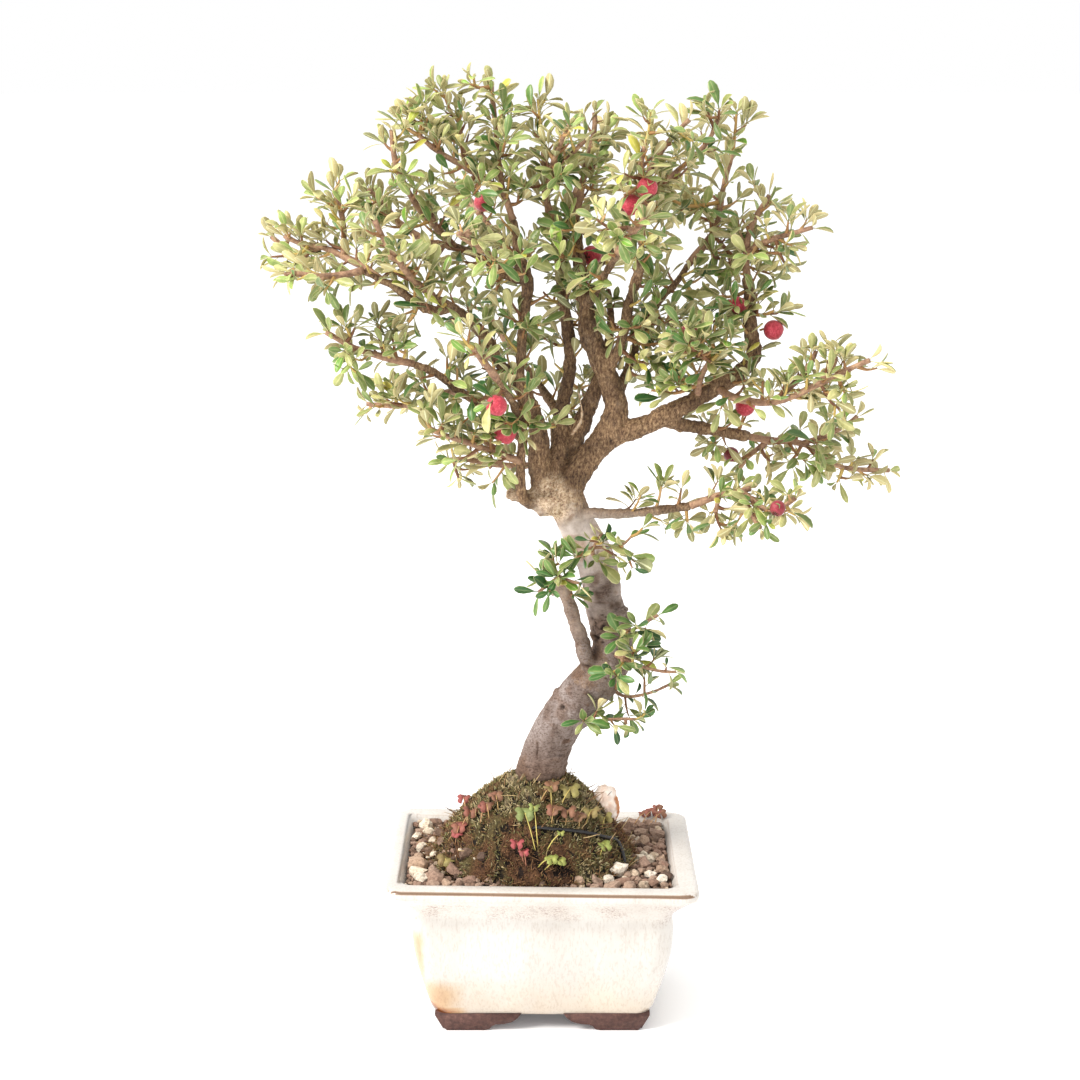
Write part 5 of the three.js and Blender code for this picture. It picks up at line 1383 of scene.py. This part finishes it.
def glaze_marks(mesh):
    """Where the glaze is stained, crazed and worn: a stain low on the left with a pale halo, a tan band of
    painted shade along the left edge, spots on the front, craze under the rim, a brown line at the outer
    lip, and a fainter line at the rim's inner edge that is partly painted shadow of the inner wall."""
    stains, crazes, lips = [], [], []
    for vertex in mesh.vertices:
        x, y, z = vertex.co.x - POT_X, vertex.co.y, vertex.co.z
        ragged = 4 * noise.fractal(Vector((x, y, z)) / 12, 1.0, 2.0, 3)
        low_left = smoothstep(-34, -41, x + ragged * 0.6) * smoothstep(13, 6, z + ragged * 0.6)
        halo = 0.36 * smoothstep(-30, -44, x + ragged) * smoothstep(26, 12, z + ragged)
        # Painted shade: a tan band where the front turns away at the left edge.
        edge = smoothstep(-48.5, -52, x + ragged * 0.3) * smoothstep(50, 41, z)
        edge = edge * smoothstep(8, 20, z) * 0.36
        spots = max(smoothstep(1.5, 0.5, math.hypot(x - far, (z - high) * 1.4) + 0.25 * ragged)
                    for far, high in GLAZE_SPOTS)
        stains.append(min(1.0, max(low_left, halo, edge, 1.2 * spots * (y < -20))
                          if y < 20 else low_left * 0.5))
        crazes.append(smoothstep(44, 54, z + ragged) * smoothstep(64, 61, z))
        level = z + sag(x, z)
        width = 0.75 + 0.25 * noise.noise(Vector((x, y, 0)) / 7)
        inner = min(RIM_HALF[0] - abs(x), RIM_HALF[1] - abs(y))
        front = max(0.25, smoothstep(5 - RIM_HALF[1], 1.5 - RIM_HALF[1], y))
        outer_lip = front * smoothstep(width, 0.15, abs(level - 67.15)) * (inner < 2)
        # A fainter dark line at the rim's inner edge, partly a glaze line and partly painted shadow of the
        # inner wall.
        inner_line_and_shadow = 0.3 * smoothstep(0.8, 0.2, abs(inner - 8.8)) * smoothstep(66, 67, level)
        lips.append(max(outer_lip, inner_line_and_shadow))
    mark_mesh(mesh, {"stain": stains, "craze": crazes, "lip": lips})


def pot():
    """The pot, glazed but for its feet, its underside and the floor inside."""
    mesh = pot_shape()
    for face in mesh.polygons:
        middle = face.center
        inside = abs(middle.x - POT_X) < RIM_HALF[0] - INSIDE and abs(middle.y) < RIM_HALF[1] - INSIDE
        bare = middle.z < BASE_BOTTOM + 0.35 or (inside and face.normal.z > 0.9 and middle.z < 20)
        face.material_index = 1 if bare else 0
    glaze_marks(mesh)
    mesh.transform(Matrix.Translation(SHIFT))
    finish_piece("glazed_pot", mesh, ["glazed_stoneware", "bare_clay"], "glaze", "pot")


# Soil, moss and what grows in it

def mound_height(x, y):
    """How high the moss mound stands at a place, without its clumps."""
    dx, dy = x - MOUND["x"], y - MOUND["y"]
    over = dx / (MOUND["left"] if dx < 0 else MOUND["right"])
    along = dy / (MOUND["front"] if dy < 0 else MOUND["back"])
    out = min(1.0, over * over + along * along)
    return MOUND["edge"] + (MOUND["top"] - MOUND["edge"]) * (1 - out) ** MOUND["power"]


def mound_place(dx, dy):
    """The place that far from the mound's middle, as shares of the way to its edge."""
    return (MOUND["x"] + dx * (MOUND["left"] if dx < 0 else MOUND["right"]),
            MOUND["y"] + dy * (MOUND["front"] if dy < 0 else MOUND["back"]))


def on_mound(x, z):
    """The first place on the mound or the soil that the line of sight meets."""
    for step in range(-120, 120):
        p = seen(x, z, step * 0.5) - SHIFT
        if p.z <= mound_height(p.x, p.y):
            return p + SHIFT
    return seen(x, z)


def lump_shape(seed):
    """A broken lump of pumice or lava, a unit across its half width: a ball with flat sides broken off."""
    rng = random.Random(seed)
    sides = [Vector([rng.uniform(-1, 1) for _ in range(3)]).normalized() for _ in range(7)]
    bm = bmesh.new()
    bmesh.ops.create_icosphere(bm, subdivisions=2, radius=1)
    for v in bm.verts:
        over = max(v.co.dot(side) for side in sides)
        v.co *= 0.55 / max(0.55, over) * (1 + 0.35 * noise.noise(v.co * 2.2 + Vector((seed * 5.1, 0, 0))))
        v.co *= 1.35
    return to_mesh(bm, "lump")


# Lumps that stand out, as seen: x, z, half width, tone.
KNOWN_LUMPS = [
    (30, 54.5, 2.6, 0.95), (48, 57, 3.0, 0.98), (53, 54.5, 2.6, 0.97), (43, 64.5, 2.6, 0.9),
    (-50, 78, 4.0, 0.9), (-48, 75.5, 3.0, 0.88), (-52, 68, 2.8, 0.92), (-55, 73, 2.6, 0.9),
    (-52, 54, 3.6, 0.93), (-52, 59, 4.6, 0.72), (-46, 56, 3.4, 0.6), (-22, 55.5, 3.2, 0.55),
    (34, 58.5, 4.0, 0.97), (17, 56, 3.2, 0.7), (24, 54, 3.0, 0.6), (-38, 57, 3.4, 0.4),
]


# How many places are tried for lumps, how many of them for large ones, and the sizes and tones they have.
LUMP_TRIES = 7000
LARGE_TRIES = 2600
LARGE_LUMPS = (1.4, 1.8, 2.2, 2.7, 3.3)
SMALL_LUMPS = (0.6, 0.8, 1.1, 1.4)
LUMP_TONES = (0.05, 0.15, 0.22, 0.3, 0.36, 0.42, 0.42, 0.5, 0.56, 0.62, 0.7, 0.8, 0.9)
# The bed's underside as a share of its top, in x and y.
BED_FOOT = (0.62 * 1.12, 0.62)


def soil():
    """A bed of peat that fills the pot, with lumps of grit on it. Left of x = -24 the lumps lie on the
    foot of the mound too."""
    rng = random.Random(5)
    shapes = [lump_shape(k) for k in range(8)]
    bm = bmesh.new()
    bm.verts.layers.float.new("tint")
    half_x, half_y = RIM_HALF[0] - WALL_AT_SOIL, RIM_HALF[1] - WALL_AT_SOIL
    bed = bmesh.ops.create_grid(bm, x_segments=60, y_segments=44, size=1)["verts"]
    for v in bed:
        x, y = v.co.x * (half_x + LEFT_OPENING * (v.co.x < -0.8)), v.co.y * half_y
        v.co = (POT_X + x, y, SOIL_TOP - 1.4 + 0.8 * noise.noise(Vector((x, y, 0)) / 4))
    for v in new_verts(bmesh.ops.extrude_face_region(bm, geom=list(bm.faces))):
        v.co = ((v.co.x - POT_X) * BED_FOOT[0] + POT_X, v.co.y * BED_FOOT[1], INNER_FLOOR + 3)
    bmesh.ops.recalc_face_normals(bm, faces=bm.faces)
    for face in bm.faces:
        face.material_index = 1
    placed, lumps = [], []

    def put(x, y, size, tone, sink):
        ground = max(SOIL_TOP, mound_height(x, y) if x < -24 else 0)
        place = Matrix.Translation((x, y, ground - 0.6 + size * (0.45 - sink)))
        turn = Matrix.Rotation(rng.uniform(0, 6.28), 4, "Z")
        tip = Matrix.Rotation(rng.uniform(-0.5, 0.5), 4, "X")
        grow = Matrix.Diagonal((size * rng.uniform(0.85, 1.25), size * rng.uniform(0.8, 1.1),
                                size * rng.uniform(0.6, 0.85), 1))
        lumps.append((rng.choice(shapes), place @ turn @ tip @ grow, tone))
        placed.append((x, y, size))

    for x, z, size, tone in KNOWN_LUMPS:
        p = on_mound(x, z) - SHIFT
        put(min(POT_X + half_x - size, max(POT_X - half_x - LEFT_OPENING + size, p.x)),
            min(half_y - size, max(-half_y + size, p.y)), size, tone, 0)
    for k in range(LUMP_TRIES):
        size = rng.choice(LARGE_LUMPS if k < LARGE_TRIES else SMALL_LUMPS)
        x = POT_X + rng.uniform(-half_x - LEFT_OPENING + size * 0.7, half_x - size * 0.7)
        y = rng.uniform(-half_y + size * 0.7, half_y - size * 0.7)
        if mound_height(x, y) > MOUND["edge"] + (10 if x < -24 else 4.5):
            continue
        if any((x - a) ** 2 + (y - b) ** 2 < (0.78 * (size + c)) ** 2 for a, b, c in placed):
            continue
        tone = rng.choice(LUMP_TONES)
        put(x, y, size, tone, rng.uniform(0, 0.35))
    scatter(bm, lumps)
    bmesh.ops.translate(bm, verts=bm.verts, vec=SHIFT)
    finish_piece("soil_with_grit", to_mesh(bm, "soil"), ["washed_grit", "damp_peat"], "grit",
                 "soil").data.shade_flat()


def moss_tone(x, y):
    """How green the moss is at a place: peaty in front, olive on the right, and pale round the trunk."""
    up = smoothstep(74, 100, mound_height(x, y))
    right = smoothstep(8, 24, x) * smoothstep(0, -14, y)
    left = smoothstep(-10, -30, x) * smoothstep(0, -14, y)
    patches = 0.4 * noise.fractal(Vector((x, y, 7)) / 9, 0.9, 2.0, 3)
    return 0.22 + 0.42 * up + 0.3 * right + 0.14 * left + patches


# How many places are tried for moss shoots, of which one in so many is a dead fibre, and how far from the
# middle of the trunk they start.
SHOOT_TRIES = 9500
FIBRE_EVERY = 30
TRUNK_RING = 11.5
FIBRE_TINTS = (0.1, 0.3, 0.4, 0.92)


def moss_dome():
    """The cushion itself: half a ball drawn to the mound's shape, with clumps."""
    bm = bmesh.new()
    tint_layer = bm.verts.layers.float.new("tint")
    hollow_shade_layer = bm.verts.layers.float.new("hollow_shade")
    dome = bmesh.ops.create_uvsphere(bm, u_segments=200, v_segments=130, radius=1)["verts"]
    low = [v for v in dome if v.co.z < -0.02]
    bmesh.ops.delete(bm, geom=low, context="VERTS")
    rim = [e for e in bm.edges if e.is_boundary]
    bmesh.ops.holes_fill(bm, edges=rim)
    for v in bm.verts:
        share = math.acos(min(1.0, max(-1.0, v.co.z))) / (math.pi / 2)
        flat = Vector((v.co.x, v.co.y))
        flat = flat.normalized() * share if flat.length > 1e-6 else flat
        x, y = mound_place(*flat)
        clumps = noise.fractal(Vector((x, y, 0)) / 3.2, 0.7, 2.0, 4)
        lift = 1.5 * noise.fractal(Vector((x, y, 0)) / 9, 0.8, 2.0, 3) + 1.6 * clumps
        v.co = (x, y, mound_height(x, y) + (lift if share < 0.99 else -1.6))
        v[tint_layer] = bounded(moss_tone(x, y))
        # How low the clumps sink here, which the moss material darkens as painted shade.
        v[hollow_shade_layer] = bounded(0.52 + 1.0 * clumps)
    bmesh.ops.recalc_face_normals(bm, faces=bm.faces)
    return bm


def moss_mound():
    """The moss cushion, with short shoots all over it and a few longer dead fibres."""
    rng = random.Random(9)
    bm = moss_dome()
    stalk = bmesh.new()
    bmesh.ops.create_cone(stalk, segments=3, radius1=0.4, radius2=0.05, depth=1, cap_ends=True,
                          matrix=Matrix.Translation((0, 0, 0.5)))
    strand = tubes([smooth([Vector((0, 0, 0)), Vector((0.1, 0, 0.5)), Vector((0.34, 0, 1))],
                           [0.034, 0.012], 0.34)], 0)
    short, fibre = to_mesh(stalk, "short"), to_mesh(strand, "fibre")
    for face in (*short.polygons, *fibre.polygons):
        face.material_index = 1
    shoots = []
    for k in range(SHOOT_TRIES):
        angle = rng.uniform(0, 2 * math.pi)
        share = math.sqrt(rng.uniform(0, 1)) * 1.02
        dx, dy = math.cos(angle) * share, math.sin(angle) * share
        x, y = mound_place(dx, dy)
        if math.hypot(x + 1, y) < TRUNK_RING:
            continue
        out = Vector((dx, dy, 0.75 + rng.uniform(-0.3, 0.5)))
        out += Vector([rng.uniform(-0.9, 0.9) for _ in range(3)])
        turn = Matrix.Translation((x, y, mound_height(x, y) - 0.4)) @ \
            out.to_track_quat("Z", "Y").to_matrix().to_4x4()
        if k % FIBRE_EVERY == 0:
            turn = turn @ Matrix.Scale(rng.uniform(3, 8), 4)
            shoots.append((fibre, turn, rng.choice(FIBRE_TINTS)))
        else:
            thick = rng.uniform(0.6, 1.1)
            tone = moss_tone(x, y) + rng.gauss(0.08, 0.16)
            shoots.append((short, turn @ Matrix.Diagonal((thick, thick, rng.uniform(0.9, 2.6), 1)),
                           bounded(tone, 0.86)))
    scatter(bm, shoots)
    bmesh.ops.translate(bm, verts=bm.verts, vec=SHIFT)
    finish_piece("moss_cushion", to_mesh(bm, "moss"), ["old_moss", "moss_shoot"], "moss", "moss_mound")


STONE_MIDDLE = seen(28.3, 88.5, 2)
STONE_HALF = (6.4, 6.5, 8.8)
STONE_FLATS = [Vector((-0.5, -0.6, 0.5)).normalized(), Vector((0.6, -0.5, 0.35)).normalized(),
               Vector((0.2, -0.8, -0.4)).normalized()]


def stone():
    """The white pebble beside the trunk: a lumpy ball with three worn flats, rusty at its right end."""
    bm = bmesh.new()
    bmesh.ops.create_icosphere(bm, subdivisions=5, radius=1)
    stains = []
    for v in bm.verts:
        way = v.co.copy()
        lumpy = 1 + 0.14 * noise.fractal(way * 1.4, 1.0, 2.0, 3) + 0.03 * noise.noise(way * 6)
        for flat in STONE_FLATS:
            lumpy -= 0.5 * max(0.0, way.dot(flat) - 0.86)
        v.co = STONE_MIDDLE + Vector([c * half for c, half in zip(way, STONE_HALF)]) * lumpy
        right_end = smoothstep(0.55, 0.95, way.x + 0.3 * noise.noise(way * 3))
        stains.append(right_end + 0.5 * smoothstep(-0.3, -0.8, way.z))
    mesh = to_mesh(bm, "stone")
    mark_mesh(mesh, {"stain": stains})
    finish_piece("quartz_pebble", mesh, ["quartz_stone"], "pale_stone", "white_stone")


def tie_wire():
    """One length of wire: over the front of the mound, down through the soil and one hole, along under the
    pot, up through the other hole, and back into the mound behind."""
    over = [on_mound(x, z) for x, z in ((-2, 77.3), (4, 76.8), (12, 76.2), (20, 75), (28, 73), (34, 70.5))]
    left, right = POT_X - HOLE_X, POT_X + HOLE_X
    back = 5.2
    under = BASE_BOTTOM - WIRE_RADIUS - 0.6
    down = [(37, -19, 62), (35, -10, 45), (26, 2, 24), (right, back, 15), (right, back, under + 3),
            (right - 2.5, back, under), (right - 9, back, under), (POT_X, back, under),
            (left + 9, back, under), (left + 2.5, back, under), (left, back, under + 3),
            (left, back, 15), (-26, 0, 28), (-30, -14, 52), (-22, -20, 68), (-12, -19, 76)]
    lifted = [p + Vector((0, -0.9, 1.0)) for p in over]
    points = [read(-6, -17, 78), *lifted, *[read(*p) for p in down]]
    bm = tubes([smooth(points, [WIRE_RADIUS, WIRE_RADIUS], 1.5)], 3)
    finish_piece("training_wire", to_mesh(bm, "wire"), ["coated_wire"], "dark_wire", "tie_wire")


def leaflet_shape():
    """A wood sorrel leaflet: a folded heart with its point at the origin, a unit long."""
    bm = bmesh.new()
    ring = bmesh.ops.create_circle(bm, segments=16, radius=1, cap_ends=True)["verts"]
    for i, v in enumerate(ring):
        if i == 0:
            v.co = (0, 0, 0)
            continue
        turn = -68 + 136 * (i - 1) / 14
        reach = 1 - 0.3 * math.exp(-(turn / 15) ** 2) - 0.12 * (abs(turn) / 68) ** 3
        v.co = (reach * math.sin(math.radians(turn)), reach * math.cos(math.radians(turn)), 0)
    bmesh.ops.triangulate(bm, faces=bm.faces)
    made = bmesh.ops.extrude_face_region(bm, geom=list(bm.faces))
    bmesh.ops.translate(bm, verts=new_verts(made), vec=(0, 0, -0.05))
    bmesh.ops.recalc_face_normals(bm, faces=bm.faces)
    for v in bm.verts:
        v.co.z -= 0.28 * abs(v.co.x) + 0.12 * v.co.y * v.co.y
    return to_mesh(bm, "leaflet")


SORREL_SIZE = 0.8

# Wood sorrels: tint, then each plant's foot and head as seen, and its leaflets' length.
SORRELS = {
    "green": (0.0, [((-2, 68), (-6.5, 83), 5.6), ((-1, 70), (-2.5, 86), 3.2)]),
    "pink": (1.0, [((-7, 62), (-10, 69), 4.0), ((-6, 60), (-7, 65), 3.0)]),
    "red": (0.84, [((-35, 76), (-30, 84), 4.4), ((-37, 70), (-35, 77), 4.6), ((-26, 80), (-24, 86), 3.6),
                   ((-31, 80), (-33, 90), 3.8), ((-40, 72), (-36, 74), 3.4)]),
    "olive": (0.42, [((9, 88), (13, 94), 5.8), ((5, 88), (4.5, 95), 4.0), ((20, 80), (22, 84), 4.8),
                     ((27, 78), (28, 81), 4.6), ((-41, 58), (-41, 62), 5.2)]),
    "lime": (0.2, [((-1, 60), (5, 62), 3.8), ((2, 59), (9, 61), 3.4), ((3, 68), (9, 74), 2.2),
                   ((26, 65), (28, 68), 4.0)]),
}
RUSTY_SORRELS = [((5, 80), (6, 85), 4.6), ((11, 79), (12, 84), 4.8), ((-18, 86), (-19, 91), 4.2),
                 ((-22, 82), (-23, 87), 4.0), ((0, 90), (5, 95.5), 4.4), ((17, 78), (17, 82), 4.0)]
FAR_SORRELS = [((41, 80), (45, 83), 3.4), ((44, 80), (48, 84), 3.4), ((47, 79), (52, 83), 4.0),
               ((50, 80), (51, 85.5), 3.4)]


def sorrel_plants(name, groups, *nodes):
    """Sorrels with three leaflets each, on thin bent stalks: groups of a tint and its plants."""
    rng = random.Random(name)
    shape = leaflet_shape()
    bm = bmesh.new()
    tint_layer = bm.verts.layers.float.new("tint")
    for tint, plants in groups:
        for foot, head, leaf in plants:
            size = leaf * SORREL_SIZE
            low = on_mound(*foot) + Vector((0, 0, -0.6))
            high = on_mound(*head) + Vector((0, -2.4, 2.6))
            bend = low.lerp(high, 0.45) + Vector((0, -1.2, 1.5))
            stalk = smooth([low, bend, high], [0.26, 0.2], 2)
            add_tubes(bm, [stalk], 0, 1, [min(1.0, 0.75 + 0.2 * tint)], tint_layer)
            start = rng.uniform(60, 120)
            for k in range(3):
                angle = math.radians(start + 120 * k + rng.uniform(-12, 12))
                along = Vector((math.cos(angle), math.sin(angle) * 0.7, rng.uniform(-0.2, 0.35)))
                along.normalize()
                facing = Vector((rng.uniform(-0.3, 0.3), -0.75, 1))
                side = along.cross(facing).normalized()
                normal = side.cross(along)
                turn = Matrix((side * size, along * size, normal * size)).transposed().to_4x4()
                turn.translation = high
                new = join(bm, shape)
                bmesh.ops.transform(bm, matrix=turn, verts=new)
                own = bounded(tint + rng.gauss(0, 0.05))
                for v in new:
                    v[tint_layer] = own
    finish_piece(name, to_mesh(bm, name), ["sorrel_leaf", "young_shoot"], "sorrel_leaf", *nodes)


def sorrels():
    """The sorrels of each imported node, and the rusty ones that have no node of their own."""
    for name, (tint, plants) in SORRELS.items():
        sorrel_plants(f"sorrel_plants_{name}", [(tint, plants)], f"wood_sorrel_{name}")
    sorrel_plants("sorrel_plants_rusty", [(0.68, RUSTY_SORRELS), (0.78, FAR_SORRELS)])


# Studio

def studio():
    """A white floor and world, a key lamp at the upper left, two weak ones, and the camera."""
    bm = bmesh.new()
    bmesh.ops.create_circle(bm, segments=64, radius=12, cap_ends=True)
    mesh = to_mesh(bm, "studio_floor")
    mesh.materials.append(MATERIALS["studio_floor"])
    floor = link("studio_floor", mesh)
    floor.location.z = -0.0002
    world = bpy.data.worlds.new("studio")
    bpy.context.scene.world = world
    world.use_nodes = True
    world.node_tree.nodes["Background"].inputs[0].default_value = (1, 1, 1, 1)
    world.node_tree.nodes["Background"].inputs[1].default_value = 1.0
    for name, place, size, power, colour in (
            ("key", (-1.5, -0.8, 1.55), 0.8, 62, "#fffaf5"), ("top", (0.2, -0.1, 1.9), 1.4, 8, "#ffffff"),
            ("fill", (1.4, -1.2, 0.6), 1.2, 0.6, "#f8faff")):
        lamp = bpy.data.lights.new(name, "AREA")
        lamp.size = size
        lamp.energy = power
        lamp.color = linear(colour)[:3]
        held = link(name, lamp)
        held.location = place
        aim = Vector((0, 0, 0.2)) - held.location
        held.rotation_euler = aim.to_track_quat("-Z", "Y").to_euler()
    camera = bpy.data.cameras.new("camera")
    camera.lens = LENS
    camera.sensor_width = 36
    held = link("camera", camera)
    held.location = (EYE + SHIFT) * MM
    held.rotation_euler = (math.radians(90 - EYE_PITCH), 0, 0)
    camera.clip_end = 60
    bpy.context.scene.camera = held
    bpy.context.scene.view_settings.view_transform = "Standard"


def carried_over():
    """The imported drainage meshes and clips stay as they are, in their own finishes."""
    for side in ("left", "right"):
        for node, finish in (("drainage_mesh", "moulded_plastic"), ("mesh_clip", "coated_wire")):
            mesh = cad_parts[f"{node}_{side}"].data
            mesh.materials.clear()
            mesh.materials.append(MATERIALS[finish])


studio()
pot()
soil()
moss_mound()
stone()
tie_wire()
sorrels()
wood()
sprays()
for i, row in enumerate(BERRIES):
    berry(i + 1, row, BERRIES_IN_PAINTED_SHADE.get(i, 0.0))
carried_over()
